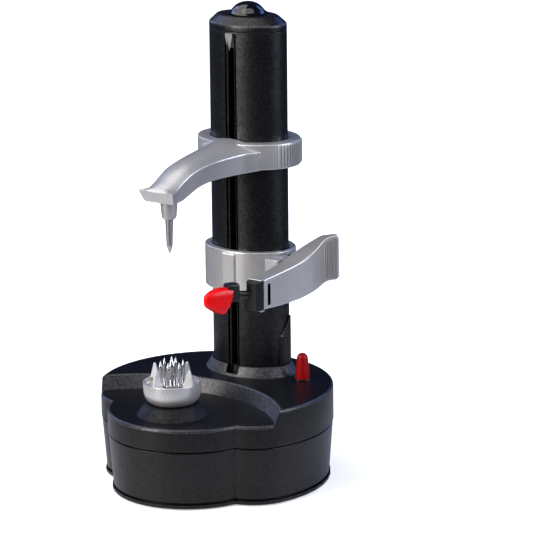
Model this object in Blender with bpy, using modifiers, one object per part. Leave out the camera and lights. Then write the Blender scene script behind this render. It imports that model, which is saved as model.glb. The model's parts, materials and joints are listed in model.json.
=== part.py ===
# Electric potato peeler: a geared base, a turning food cup, a tower with a lead screw,
# a sliding top arm and a sliding carriage that carries the spring-loaded blade lever.
# Metres, +Z up. The front (food side) is -Y, and x = 0 is the plane of symmetry.
# The origin is the middle of the footprint, on the surface that the feet stand on.

import bmesh
import bpy
from math import acos, atan2, cos, hypot, pi, radians, sin, sqrt
from mathutils import Matrix, Vector

MM = 0.001

# Sides of round pieces
HIDDEN_SIDES = 16
ROUND_SIDES = 24
WIDE_SIDES = 40

# Fits
GAP = 0.3 * MM                     # between pieces that rest on or fit in one another
RUNNING_GAP = 0.35 * MM            # between sliding or turning pieces
OVERRUN = 1.0 * MM                 # how far a cutter runs past the face it cuts

# Base outline: a big rear circle, a smaller front lobe and a rounded shoulder between them
REAR_RADIUS = 72.3 * MM
LOBE_RADIUS = 49.7 * MM
LOBE_SETBACK = 26.9 * MM           # from the rear circle's centre to the lobe's
SHOULDER_RADIUS = 31.0 * MM
SHOULDER_ANGLE = radians(70)       # from straight ahead, where the shoulder leaves the circle
TOWER_TO_BACK = 34.1 * MM          # from the tower's axis to the base's rearmost point
SPINDLE_AHEAD = 16.9 * MM          # in front of the lobe's centre

# Base heights and walls
BASE_WALL = 2.4 * MM
FOOT_DROP = 1.0 * MM               # how far the feet stand below the base plate
PLATE_THICK = 2.4 * MM
PLATE_INSET = 2.0 * MM
SHADOW_GAP = 0.8 * MM              # dark line between the base plate and the tray
TRAY_TOP = 36.4 * MM
TRAY_INSET = 0.4 * MM
TRAY_DRAFT = 2.4 * MM              # how far the tray draws in towards its foot
PARTING_GAP = 0.7 * MM
LIP_HEIGHT = 3.0 * MM
LIP_WALL = 1.6 * MM
LOWER_DECK = 51.0 * MM
UPPER_DECK = 59.7 * MM
EDGE_ROUND = 1.5 * MM

# Crescent step between the two decks
CRESCENT_CENTRE = 122.0 * MM       # in front of the tower's axis
CRESCENT_RADIUS = 85.0 * MM
CRESCENT_LEAN = 3.4 * MM           # how far its wall leans back over its height

# Tower
TOWER_HALF_WIDTH = 25.8 * MM
TOWER_HALF_DEPTH = 18.6 * MM
TOWER_WALL = 3.0 * MM
TOWER_FOOT = 49.5 * MM
TOWER_TOP = 274.2 * MM
SLOT_WIDTH = 8.6 * MM
SLOT_DEPTH = 1.7 * MM
SLIT_WIDTH = 3.8 * MM
SLOT_FOOT = 60.4 * MM
SLOT_TOP_MARGIN = 0.9 * MM
CAM_RIB_TOP = 97.0 * MM
CAM_RIB_WIDTH = 9.0 * MM
CAM_RIB_PROUD = 1.3 * MM
CAM_RIB_RAMP = 12.0 * MM
RAIL_SCREW_HEIGHT = 152.6 * MM
RAIL_SCREW_RADIUS = 0.8 * MM
RAIL_SCREW_LENGTH = 1.0 * MM

# Socket for the tower in the cover
PEDESTAL_TOP = 66.0 * MM
PEDESTAL_SPREAD_X = 5.2 * MM
PEDESTAL_SPREAD_Y = 3.7 * MM
PEDESTAL_TOP_WALL = 0.9 * MM
SOCKET_WALL = 2.2 * MM
SOCKET_FLOOR = 2.2 * MM

# Cap and dome
CAP_BAND = 3.4 * MM
CAP_CHAMFER = 5.0 * MM
CAP_INSET = 5.6 * MM
CAP_PLUG = 6.0 * MM
DOME_RADIUS = 11.7 * MM
DOME_HEIGHT = 7.1 * MM
DOME_FOOT = 0.9 * MM
DOME_WAIST_SHARE = 0.84            # of its radius, where the dome leaves its flared foot
DOME_PEG_RADIUS = 2.5 * MM
DOME_PEG_LENGTH = 2.5 * MM

# Lead screw
SCREW_RADIUS = 4.0 * MM
SCREW_END_RADIUS = 2.6 * MM
SCREW_FOOT = 30.0 * MM
BEARING_WALL = 1.7 * MM
BEARING_LENGTH = 4.4 * MM

# Food cup, its prongs and its spindle
CUP_RADIUS = 17.6 * MM
CUP_FOOT_RADIUS = 13.6 * MM
CUP_BOTTOM = 58.4 * MM
CUP_HEIGHT = 12.9 * MM
CUP_WALL = 1.8 * MM
CUP_DISH = 2.2 * MM
CUP_BELLY_SHARE = 0.45             # of its height, where its side starts to draw in
CUP_SOCKET_SHARE = 0.54            # of its height, how deep the spindle's socket goes in
FIN_HEIGHT = 8.9 * MM
FIN_THICK = 1.3 * MM
FIN_INNER_RADIUS = 8.9 * MM
FIN_APEX_RADIUS = 14.2 * MM
FIN_COUNT = 4
FIN_PHASE = radians(-5)
PRONG_COUNT = 6
PRONG_RING_RADIUS = 6.9 * MM
PRONG_RADIUS = 1.15 * MM
PRONG_HEIGHT = 14.5 * MM
PRONG_POINT = 4.0 * MM
PRONG_PHASE = radians(17.5)
SPIKE_RADIUS = 2.1 * MM
SPIKE_HEIGHT = 17.0 * MM
SPIKE_POINT = 6.0 * MM
PRONG_DISC_RADIUS = 8.3 * MM
PRONG_DISC_THICK = 1.0 * MM
SPINDLE_RADIUS = 3.0 * MM
SPINDLE_FOOT = 29.5 * MM
BUSH_WALL = 1.8 * MM
BUSH_FLANGE = 1.6 * MM
BUSH_FLANGE_THICK = 1.0 * MM
CONE_FOOT_RADIUS = 21.6 * MM
CONE_TOP_RADIUS = 16.3 * MM
CONE_CLEARANCE = 0.4 * MM          # from the cone's top to the turning cup

# Gear train
CHASSIS_FOOT = 32.0 * MM
CHASSIS_THICK = 2.0 * MM
CHASSIS_INSET = 7.5 * MM
FINAL_TEETH = 27
PINION_TEETH = 9
WHEEL_TEETH = 36
SMALL_TEETH = 10
WHEEL_MODULE_SHARE = 0.6256        # of the final gears' module
GEAR_THICK = 3.0 * MM
FINAL_THICK = 4.0 * MM
ADDENDUM_SHARE = 0.8               # of the module, above the pitch circle
DEDENDUM_SHARE = 1.1               # of the module, below the pitch circle
ROOT_SHARE = 0.36                  # half a tooth's width at its root, of one tooth's pitch
TIP_SHARE = 0.11
LEVEL_GAP = 0.8 * MM
HUB_WALL = 2.0 * MM
AXLE_RADIUS = 1.5 * MM
AXLE_HEAD_RADIUS = 2.7 * MM
AXLE_HEAD_THICK = 0.7 * MM
SECOND_GEAR_ANGLE = radians(-20)   # from the idler, about +Z from +X
FIRST_GEAR_ANGLE = radians(75)     # from the second gear
MOTOR_ANGLE = radians(-55)         # from the first gear

# Motor
MOTOR_RADIUS = 12.1 * MM
MOTOR_LENGTH = 25.0 * MM
MOTOR_BOSS_RADIUS = 4.0 * MM
MOTOR_BOSS_HEIGHT = 1.6 * MM
MOTOR_SHAFT_RADIUS = 1.0 * MM
MOTOR_BORE_SHARE = 0.6             # of the motor's length, open for the rotor's shaft

# Batteries, lying side by side in a box that opens downwards
CELL_RADIUS = 7.1 * MM
CELL_LENGTH = 49.0 * MM
CELL_TIP_RADIUS = 2.7 * MM
CELL_TIP_LENGTH = 1.2 * MM
CELL_COUNT = 4
CELL_PITCH = 14.7 * MM
BOX_WALL = 1.5 * MM
BOX_CENTRE_X = -9.0 * MM
BOX_AHEAD = 2.15 * MM              # in front of the rear circle's centre
CONTACT_THICK = 0.5 * MM
CONTACT_ROOM = 1.6 * MM
CONTACT_HEIGHT = 9.0 * MM
DOOR_THICK = 1.7 * MM
DOOR_LEDGE = 2.2 * MM

# Posts and feet, one above the other at four places
POST_RADIUS = 3.6 * MM
# Shares of the lobe's radius and the rear circle's, out to the side and away from its centre
FRONT_POST_SHARES = (0.523, 0.433)
REAR_POST_SHARES = (0.526, 0.581)
FOOT_RADIUS = 5.5 * MM
FOOT_THICK = 2.2 * MM

# Start button
BUTTON_X = 40.0 * MM
BUTTON_SETBACK = 2.3 * MM          # in front of the tower's axis
BUTTON_RADIUS = 4.6 * MM
BUTTON_TOP_RADIUS = 3.3 * MM
BUTTON_HEIGHT = 16.4 * MM
BUTTON_CROWN = 1.5 * MM
BUTTON_TRAVEL = 3.5 * MM
BUTTON_FLANGE = 1.3 * MM
BUTTON_FLANGE_THICK = 1.2 * MM
BEZEL_WALL = 1.4 * MM
BEZEL_PROUD = 0.5 * MM
BEZEL_LIP = 0.6 * MM
BUTTON_STEM_RADIUS = 1.7 * MM
SWITCH_SIZE = (12.8 * MM, 5.8 * MM, 6.0 * MM)
SPRING_WIRE = 0.6 * MM
SPRING_TURNS = 5

# Mains adaptor inlet
JACK_RADIUS = 4.6 * MM
JACK_BORE = 3.0 * MM
JACK_LENGTH = 11.0 * MM
JACK_PIN_RADIUS = 0.9 * MM
JACK_FLANGE = 1.6 * MM
JACK_HEIGHT = 20.0 * MM

# Top arm
ARM_RING_FOOT = 191.8 * MM
ARM_RING_HEIGHT = 15.7 * MM
ARM_RING_WALL = 8.0 * MM
ARM_REACH = 12.0 * MM              # past the pin's axis
ARM_CROWN = 2.2 * MM
ARM_ROOT = 21.0 * MM               # in front of the tower's axis, inside the ring
ARM_HALF_WIDTH = 20.0 * MM
ARM_NOSE_DROP = 15.0 * MM          # from the ring's top edge down to the nose's
ARM_NOSE_DIP = 8.9 * MM            # from the ring's underside down to the nose's
ARM_NOSE_LEAN = 2.0 * MM
# Shares of the arm's length, nose drop and nose dip, and of its width at the top and at the foot;
# the last station flares out into the nose's lip
ARM_STATIONS = ((0.0, 0.02, 0.03, 0.94, 0.90), (0.123, 0.09, 0.15, 0.80, 0.74),
                (0.26, 0.12, 0.19, 0.70, 0.63), (0.397, 0.153, 0.21, 0.61, 0.54),
                (0.493, 0.22, 0.24, 0.585, 0.515), (0.603, 0.32, 0.43, 0.55, 0.48),
                (0.671, 0.45, 0.61, 0.53, 0.46), (0.74, 0.553, 0.865, 0.52, 0.45),
                (0.808, 0.72, 1.0, 0.50, 0.43), (0.877, 0.92, 1.0, 0.475, 0.42),
                (0.918, 1.02, 0.98, 0.465, 0.42), (0.959, 1.02, 0.95, 0.475, 0.43),
                (1.0, 0.99, 0.83, 0.67, 0.46))
TONGUE_GAP = 0.4 * MM
SHOE_WIDTH = 8.0 * MM
SHOE_THICK = 2.2 * MM
SHOE_HEIGHT = 9.0 * MM
LEAF_THICK = 0.5 * MM
LEAF_BOW = 1.0 * MM
HOLDER_RADIUS = 5.3 * MM
HOLDER_FOOT_RADIUS = 4.4 * MM
HOLDER_FOOT = 171.3 * MM
HOLDER_CHAMFER = 1.2 * MM
HOLDER_BORE = 3.5 * MM
HOLDER_LIP = 5.3 * MM
HOLDER_NECK_RADIUS = 3.2 * MM
HOLDER_NECK_LENGTH = 4.5 * MM
PIN_RADIUS = 2.2 * MM
PIN_TIP_RADIUS = 1.8 * MM
PIN_REACH = 21.3 * MM              # below the holder's foot
PIN_POINT = 5.0 * MM
PIN_HEAD_LENGTH = 4.0 * MM

# Carriage
CARRIAGE_FOOT = 113.3 * MM
CARRIAGE_HEIGHT = 26.2 * MM
CARRIAGE_WALL = 4.5 * MM
CARRIAGE_PANEL_PROUD = 0.7 * MM
KEY_MARGIN = 4.5 * MM              # from the ring's edges to the key in the tower's slit
BOSS_LENGTH = 10.0 * MM
BOSS_HALF = 6.5 * MM
NUT_WIDTH = 13.0 * MM
NUT_HEIGHT = 24.0 * MM
NUT_REACH = 12.9 * MM              # in front of the tower's axis

# Blade lever
PIVOT_X = 38.5 * MM
PIVOT_SETBACK = 9.5 * MM           # in front of the tower's axis
PIVOT_RADIUS = 2.0 * MM
PIVOT_HEAD = 1.2 * MM
PIN_FIT = 0.15 * MM
BARREL_RADIUS = 5.2 * MM
BARREL_LIFT = 7.7 * MM             # above the carriage's lower edge
BARREL_HEIGHT = 7.0 * MM
WEB_SHARE = 0.6                    # of the barrel's radius, half the web's thickness
EYE_RADIUS = 6.3 * MM
EYE_MARGIN = 1.9 * MM
COIL_WIRE = 0.8 * MM
COIL_HEIGHT = 2.8 * MM
COIL_TURNS = 2.5
LEVER_LIFT = 0.6 * MM              # above the carriage's lower edge
LEVER_RISE = 38.1 * MM
LEVER_LENGTH = 48.0 * MM
# Shares of the lever's length and rise: outer edge x and y, inner edge x and y, top and foot
LEVER_STATIONS = ((0.1, -0.773, -0.1, -0.773, 0.486, 0.0), (0.158, -0.481, -0.048, -0.5, 0.543, 0.0),
                  (0.24, -0.181, 0.0, -0.229, 0.633, 0.034), (0.325, 0.017, 0.104, 0.073, 0.764, 0.108),
                  (0.394, 0.09, 0.177, 0.281, 0.908, 0.213), (0.5, 0.233, 0.438, 0.294, 1.0, 0.278))
WINDOW_WIDTH = 2.2 * MM
WINDOW_SETBACK = 3.1 * MM
WINDOW_TOP = 15.1 * MM

# Blade head
BLOCK_WIDTH = 9.4 * MM
BLOCK_DEPTH = 7.6 * MM
BLOCK_HEIGHT = 18.0 * MM
TONGUE_DEPTH = 8.0 * MM
TONGUE_WIDTH = 4.6 * MM
TONGUE_HEIGHT = 12.5 * MM
NECK_RADIUS = 1.7 * MM
NECK_OFFSET = 1.1 * MM
NECK_ROOT = 2.0 * MM
NECK_RISE = 10.7 * MM
NECK_LENGTH = 8.6 * MM
NECK_ANGLE = radians(28)           # from straight ahead towards the food
NECK_LIFT = radians(6)
HEAD_BORE = 5.0 * MM
HEAD_LENGTH = 8.0 * MM
HEAD_WIDTH = 7.0 * MM
HEAD_DOWN = 4.5 * MM
HEAD_UP = 7.0 * MM
GUARD_LENGTH = 16.0 * MM
GUARD_THICK = 8.0 * MM
GUARD_SIDE = 4.0 * MM
GUARD_DOWN = 10.0 * MM
GUARD_UP = 6.0 * MM
# Shares of the guard's length, side shift, thickness, depth below and height above the neck
GUARD_STATIONS = ((0.0, 0.0, 1.0, 0.7, 0.95), (0.25, 0.15, 1.0, 1.0, 1.0),
                  (0.6, 0.5, 0.8, 0.7, 0.95), (1.0, 1.0, 0.35, 0.15, 0.75))
BLADE_THICK = 0.5 * MM
BLADE_SHARES = (0.08, 0.6)         # of the guard's length, where the blade starts and ends
BLADE_SPAN_SHARE = 0.62            # of the guard's height

# Places that follow from the sizes
TOWER_SETBACK = REAR_RADIUS - TOWER_TO_BACK
SPINDLE_TO_TOWER = TOWER_SETBACK + LOBE_SETBACK + SPINDLE_AHEAD
HALF_LENGTH = (REAR_RADIUS + LOBE_SETBACK + LOBE_RADIUS) / 2
REAR_Y = HALF_LENGTH - REAR_RADIUS
LOBE_Y = REAR_Y - LOBE_SETBACK
TOWER_Y = REAR_Y + TOWER_SETBACK
SPINDLE_Y = TOWER_Y - SPINDLE_TO_TOWER
PLATE_TOP = FOOT_DROP + PLATE_THICK
TRAY_FOOT = PLATE_TOP + SHADOW_GAP

# Battery compartment sizes that follow from the cells
DOOR_TOP = FOOT_DROP + DOOR_THICK
CELL_Z = DOOR_TOP + GAP + CELL_RADIUS
CELL_HALF_LENGTH = (CELL_LENGTH + CELL_TIP_LENGTH) / 2
BOX_HALF_X = CELL_COUNT * CELL_PITCH / 2 + GAP
BOX_CENTRE_Y = REAR_Y - BOX_AHEAD
BOX_HALF_Y = CELL_HALF_LENGTH + CONTACT_THICK + 2 * GAP
BOX_TOP = CELL_Z + CELL_RADIUS + CONTACT_ROOM

# Heights of the gear train's levels
CHASSIS_TOP = CHASSIS_FOOT + CHASSIS_THICK
FLANGE_TOP = CHASSIS_TOP + GAP + BUSH_FLANGE_THICK
LEVEL_1 = CHASSIS_TOP + LEVEL_GAP + GAP
LEVEL_2 = LEVEL_1 + GEAR_THICK + LEVEL_GAP
LEVEL_3 = LEVEL_2 + GEAR_THICK + LEVEL_GAP
TRAIN_TOP = LEVEL_3 + FINAL_THICK

# The final gears share one module, which follows from the distance that three of them span
FINAL_MODULE = SPINDLE_TO_TOWER / (2 * FINAL_TEETH)
FINAL_RADIUS = FINAL_MODULE * FINAL_TEETH / 2
WHEEL_MODULE = FINAL_MODULE * WHEEL_MODULE_SHARE
PINION_RADIUS = FINAL_MODULE * PINION_TEETH / 2
WHEEL_SPAN = WHEEL_MODULE * (WHEEL_TEETH + SMALL_TEETH) / 2
IDLER = (0, (SPINDLE_Y + TOWER_Y) / 2)


def polar(centre, distance, angle):
    return (centre[0] + distance * cos(angle), centre[1] + distance * sin(angle))


SECOND_GEAR = polar(IDLER, FINAL_RADIUS + PINION_RADIUS, SECOND_GEAR_ANGLE)
FIRST_GEAR = polar(SECOND_GEAR, WHEEL_SPAN, FIRST_GEAR_ANGLE)
MOTOR = polar(FIRST_GEAR, WHEEL_SPAN, MOTOR_ANGLE)

# Heights that follow in the cover, the tower and the cup
CUP_RIM = CUP_BOTTOM + CUP_HEIGHT
CUP_SOCKET_DEPTH = CUP_HEIGHT * CUP_SOCKET_SHARE
COVER_FOOT = TRAY_TOP + PARTING_GAP
CONE_TOP = CUP_BOTTOM - CONE_CLEARANCE
CAP_FOOT = TOWER_TOP + GAP
CAP_TOP = CAP_FOOT + CAP_BAND + CAP_CHAMFER
SLOT_TOP = TOWER_TOP - SLOT_TOP_MARGIN

# Where the sliding pieces and the lever stand
ARM_TOP = ARM_RING_FOOT + ARM_RING_HEIGHT
CARRIAGE_TOP = CARRIAGE_FOOT + CARRIAGE_HEIGHT
TOWER_FRONT = TOWER_Y - TOWER_HALF_DEPTH
TOWER_BACK = TOWER_Y + TOWER_HALF_DEPTH
SLOT_FLOOR_Y = TOWER_FRONT + SLOT_DEPTH
ARM_LENGTH = SPINDLE_TO_TOWER + ARM_REACH - ARM_ROOT
PIN_TIP = HOLDER_FOOT - PIN_REACH
PIVOT = (PIVOT_X, TOWER_Y - PIVOT_SETBACK)
BARREL_FOOT = CARRIAGE_FOOT + BARREL_LIFT
BARREL_TOP = BARREL_FOOT + BARREL_HEIGHT
EYE_FOOT = CARRIAGE_FOOT + EYE_MARGIN
EYE_TOP = CARRIAGE_TOP - EYE_MARGIN
NUT_Y = TOWER_Y - NUT_REACH
NUT_FOOT = (CARRIAGE_FOOT + CARRIAGE_TOP - NUT_HEIGHT) / 2

# Blade block and head
BLOCK_X = PIVOT_X
BLOCK_REAR = PIVOT[1] + LEVER_LENGTH * LEVER_STATIONS[0][1]
BLOCK_FRONT = BLOCK_REAR - BLOCK_DEPTH
LEVER_FOOT = CARRIAGE_FOOT + LEVER_LIFT
TONGUE_FOOT = LEVER_FOOT + (BLOCK_HEIGHT - TONGUE_HEIGHT) / 2
NECK_START = (BLOCK_X - NECK_OFFSET, BLOCK_FRONT + NECK_ROOT, LEVER_FOOT + NECK_RISE)
NECK_LINE = Vector((-sin(NECK_ANGLE), -cos(NECK_ANGLE), sin(NECK_LIFT))).normalized()
HEAD_ROOT = Vector(NECK_START) + NECK_LINE * NECK_LENGTH

# Button and its switch
BUTTON = (BUTTON_X, TOWER_Y - BUTTON_SETBACK)
BUTTON_FLANGE_TOP = UPPER_DECK - BASE_WALL - GAP - BEZEL_LIP
BUTTON_FLANGE_FOOT = BUTTON_FLANGE_TOP - BUTTON_FLANGE_THICK
SWITCH_FOOT = CHASSIS_TOP + GAP
SWITCH_TOP = SWITCH_FOOT + SWITCH_SIZE[2]


def clear_scene():
    for item in list(bpy.data.objects):
        bpy.data.objects.remove(item, do_unlink=True)


def new_collection(name):
    group = bpy.data.collections.new(name)
    bpy.context.scene.collection.children.link(group)
    return group


def finish(name, colour, roughness, metallic=0.0):
    material = bpy.data.materials.new(name)
    material.use_nodes = True
    shader = material.node_tree.nodes["Principled BSDF"]
    shader.inputs["Base Color"].default_value = (*colour, 1.0)
    shader.inputs["Roughness"].default_value = roughness
    shader.inputs["Metallic"].default_value = metallic
    return material


clear_scene()
PARTS = new_collection("electric_potato_peeler")
CUTTERS = new_collection("cutters")

BLACK = finish("textured_black_plastic", (0.02, 0.021, 0.024), 0.55)
GLOSS_BLACK = finish("gloss_black_plastic", (0.01, 0.01, 0.011), 0.12)
INNER = finish("natural_nylon", (0.75, 0.73, 0.66), 0.45)
SILVER = finish("silver_paint", (0.62, 0.62, 0.63), 0.35, 0.6)
STEEL = finish("stainless_steel", (0.6, 0.6, 0.6), 0.25, 1.0)
BRASS = finish("brass", (0.72, 0.52, 0.25), 0.35, 1.0)
RED = finish("red_plastic", (0.75, 0.02, 0.025), 0.35)
RUBBER = finish("rubber", (0.03, 0.03, 0.03), 0.8)
CELL_WRAP = finish("cell_wrap", (0.12, 0.2, 0.3), 0.4)


def place(name, mesh, material):
    piece = bpy.data.objects.new(name, mesh)
    if material:
        mesh.materials.append(material)
    PARTS.objects.link(piece)
    return piece


def from_bmesh(name, shape, material):
    bmesh.ops.recalc_face_normals(shape, faces=shape.faces)
    mesh = bpy.data.meshes.new(name)
    shape.to_mesh(mesh)
    shape.free()
    return place(name, mesh, material)


def smooth(piece, angle=radians(30)):
    piece.data.shade_smooth()
    piece.data.set_sharp_from_angle(angle=angle)
    return piece


def hide_tool(tool):
    for group in list(tool.users_collection):
        group.objects.unlink(tool)
    CUTTERS.objects.link(tool)
    tool.hide_render = True
    tool.display_type = "WIRE"


def combine(piece, tool, operation):
    step = piece.modifiers.new(operation.lower(), "BOOLEAN")
    step.operation = operation
    step.solver = "EXACT"
    step.object = tool
    hide_tool(tool)
    return piece


def cut(piece, *tools):
    for tool in tools:
        combine(piece, tool, "DIFFERENCE")
    return piece


def join(piece, *tools):
    for tool in tools:
        combine(piece, tool, "UNION")
    return piece


def mesh_from_curve(curve_piece, material):
    bpy.context.view_layer.update()
    graph = bpy.context.evaluated_depsgraph_get()
    mesh = bpy.data.meshes.new_from_object(curve_piece.evaluated_get(graph))
    shape = bmesh.new()
    shape.from_mesh(mesh)
    bmesh.ops.remove_doubles(shape, verts=shape.verts, dist=GAP / 100)
    name, matrix = curve_piece.name, curve_piece.matrix_world.copy()
    bpy.data.objects.remove(curve_piece, do_unlink=True)
    bpy.data.meshes.remove(mesh)
    piece = from_bmesh(name, shape, material)
    piece.matrix_world = matrix
    return piece


def plate(name, outline, low, high, material=None, holes=()):
    curve = bpy.data.curves.new(name, "CURVE")
    curve.dimensions = "2D"
    curve.fill_mode = "BOTH"
    curve.extrude = (high - low) / 2
    for ring in (outline, *holes):
        spline = curve.splines.new("POLY")
        spline.points.add(len(ring) - 1)
        for point, (x, y) in zip(spline.points, ring):
            point.co = (x, y, 0, 1)
        spline.use_cyclic_u = True
    flat = bpy.data.objects.new(name, curve)
    PARTS.objects.link(flat)
    flat.location.z = (low + high) / 2
    return mesh_from_curve(flat, material)


def box(name, low, high, material=None):
    shape = bmesh.new()
    bmesh.ops.create_cube(shape, size=1)
    size = [b - a for a, b in zip(low, high)]
    middle = [(a + b) / 2 for a, b in zip(low, high)]
    bmesh.ops.transform(shape, matrix=Matrix.Diagonal((*size, 1)), verts=shape.verts)
    piece = from_bmesh(name, shape, material)
    piece.location = middle
    return piece


def rod(name, start, end, radius, material=None, end_radius=None, sides=HIDDEN_SIDES):
    axis = Vector(end) - Vector(start)
    shape = bmesh.new()
    last = radius if end_radius is None else end_radius
    bmesh.ops.create_cone(shape, cap_ends=True, segments=sides, radius1=radius, radius2=last,
                          depth=axis.length)
    piece = from_bmesh(name, shape, material)
    piece.location = Vector(start) + axis / 2
    piece.rotation_euler = axis.to_track_quat("Z", "Y").to_euler()
    return smooth(piece)


def turned(name, profile, centre, material=None, steps=ROUND_SIDES, closed=False):
    """Turns a profile of (radius, height) about a vertical axis at centre."""
    mesh = bpy.data.meshes.new(name)
    points = [(radius, 0, height) for radius, height in profile]
    edges = [(i, i + 1) for i in range(len(points) - 1)]
    if closed:
        edges.append((len(points) - 1, 0))
    mesh.from_pydata(points, edges, [])
    piece = place(name, mesh, material)
    piece.location = (*centre, 0)
    screw = piece.modifiers.new("turn", "SCREW")
    screw.steps = steps
    screw.render_steps = steps
    screw.use_merge_vertices = True
    screw.merge_threshold = GAP / 100
    screw.use_smooth_shade = True
    return piece


def ring(name, inner, outer, low, high, centre, material=None, steps=ROUND_SIDES):
    profile = [(outer, high), (outer, low), (inner, low), (inner, high)]
    return turned(name, profile, centre, material, steps, closed=True)


def skin(name, rings, material=None, closed=False):
    """Joins rings of points, each with as many points, into one closed surface."""
    shape = bmesh.new()
    loops = [[shape.verts.new(point) for point in points] for points in rings]
    pairs = list(zip(loops, loops[1:]))
    if closed:
        pairs.append((loops[-1], loops[0]))
    for first, second in pairs:
        for i in range(len(first)):
            j = (i + 1) % len(first)
            shape.faces.new((first[i], first[j], second[j], second[i]))
    if not closed:
        shape.faces.new(loops[0])
        shape.faces.new(loops[-1])
    return from_bmesh(name, shape, material)


def arc(centre, radius, start, end, count):
    """Points of an arc, by angles measured from straight ahead (-Y) towards +X."""
    angles = [start + (end - start) * i / (count - 1) for i in range(count)]
    return [(centre[0] + radius * sin(a), centre[1] - radius * cos(a)) for a in angles]


def circle(centre, radius, sides=HIDDEN_SIDES):
    return arc(centre, radius, 0, 2 * pi, sides + 1)[:-1]


def bearing_of(point, centre):
    return atan2(point[0] - centre[0], centre[1] - point[1])


def front_crossing(first, first_radius, second, second_radius):
    """The crossing of two circles that lies further ahead."""
    dx, dy = second[0] - first[0], second[1] - first[1]
    apart = hypot(dx, dy)
    along = (first_radius ** 2 - second_radius ** 2 + apart ** 2) / (2 * apart)
    across = sqrt(first_radius ** 2 - along ** 2)
    sides = [(first[0] + (along * dx + sign * across * dy) / apart,
              first[1] + (along * dy - sign * across * dx) / apart) for sign in (-1, 1)]
    return min(sides, key=lambda point: point[1])


def base_outline(inset):
    reach = REAR_RADIUS - SHOULDER_RADIUS
    rear, lobe = (0, REAR_Y), (0, LOBE_Y)
    shoulder = (reach * sin(SHOULDER_ANGLE), REAR_Y - reach * cos(SHOULDER_ANGLE))
    notch = front_crossing(shoulder, SHOULDER_RADIUS - inset, lobe, LOBE_RADIUS - inset)
    half = arc(lobe, LOBE_RADIUS - inset, 0, bearing_of(notch, lobe), 10)
    half += arc(shoulder, SHOULDER_RADIUS - inset, bearing_of(notch, shoulder), SHOULDER_ANGLE, 7)[1:]
    half += arc(rear, REAR_RADIUS - inset, SHOULDER_ANGLE, pi, 14)[1:]
    return half + [(-x, y) for x, y in reversed(half[1:-1])]


def base_ring(inset, height):
    return [(x, y, height) for x, y in base_outline(inset)]


def oval(grow, sides=WIDE_SIDES, grow_y=None):
    """The tower's oval, larger by grow."""
    wide = TOWER_HALF_WIDTH + grow
    deep = TOWER_HALF_DEPTH + (grow if grow_y is None else grow_y)
    turns = [2 * pi * i / sides for i in range(sides)]
    return [(wide * sin(t), TOWER_Y - deep * cos(t)) for t in turns]


def oval_ring(grow, height, grow_y=None, sides=WIDE_SIDES):
    return [(x, y, height) for x, y in oval(grow, sides, grow_y)]


def post_places():
    front_x, ahead = (LOBE_RADIUS * share for share in FRONT_POST_SHARES)
    rear_x, behind = (REAR_RADIUS * share for share in REAR_POST_SHARES)
    front_y, rear_y = LOBE_Y - ahead, REAR_Y + behind
    return [(-front_x, front_y), (front_x, front_y), (-rear_x, rear_y), (rear_x, rear_y)]


def battery_room(name, grow, low, high, material=None):
    half_x, half_y = BOX_HALF_X + grow, BOX_HALF_Y + grow
    return box(name, (BOX_CENTRE_X - half_x, BOX_CENTRE_Y - half_y, low),
               (BOX_CENTRE_X + half_x, BOX_CENTRE_Y + half_y, high), material)


def make_base_plate():
    rim = BASE_WALL / 4
    floor = skin("base_plate", [base_ring(PLATE_INSET + rim, FOOT_DROP),
                                base_ring(PLATE_INSET, FOOT_DROP + rim),
                                base_ring(PLATE_INSET, PLATE_TOP)], BLACK)
    wall_face = TRAY_INSET + TRAY_DRAFT + BASE_WALL
    ledge_outer = TRAY_INSET + TRAY_DRAFT + BASE_WALL / 2
    sunk = PLATE_TOP - PLATE_THICK / 4
    ledge_top = TRAY_FOOT - GAP
    wall_top = PLATE_TOP + LIP_HEIGHT
    upstand = skin("plate_upstand", [base_ring(ledge_outer, sunk), base_ring(ledge_outer, ledge_top),
                                     base_ring(wall_face + GAP, ledge_top),
                                     base_ring(wall_face + GAP, wall_top),
                                     base_ring(wall_face + GAP + LIP_WALL, wall_top),
                                     base_ring(wall_face + GAP + LIP_WALL, sunk)], closed=True)
    join(floor, upstand)
    for i, (x, y) in enumerate(post_places()):
        join(floor, rod(f"plate_post_{i}", (x, y, sunk), (x, y, CHASSIS_FOOT - GAP), POST_RADIUS))
        foot_room = FOOT_DROP + FOOT_THICK / 2 + GAP
        cut(floor, rod(f"foot_recess_{i}", (x, y, -OVERRUN), (x, y, foot_room), FOOT_RADIUS + GAP,
                       sides=ROUND_SIDES))
    cut(floor, battery_room("door_recess", DOOR_LEDGE, -OVERRUN, DOOR_TOP + GAP))
    cut(floor, battery_room("battery_opening", 0, -OVERRUN, PLATE_TOP + OVERRUN))


def make_feet():
    for i, (x, y) in enumerate(post_places(), 1):
        foot_top = FOOT_DROP + FOOT_THICK / 2
        edge = FOOT_THICK / 5
        turned(f"rubber_foot_{i}", [(0, foot_top), (FOOT_RADIUS, foot_top), (FOOT_RADIUS, edge),
                                    (FOOT_RADIUS - edge, 0), (0, 0)], (x, y), RUBBER)


def make_battery_door():
    battery_room("battery_door", DOOR_LEDGE - GAP, FOOT_DROP, DOOR_TOP, BLACK)


def make_battery_box():
    shell = battery_room("battery_box", BOX_WALL, PLATE_TOP + GAP, BOX_TOP + BOX_WALL, INNER)
    cut(shell, battery_room("battery_hollow", 0, -OVERRUN, BOX_TOP))


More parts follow.
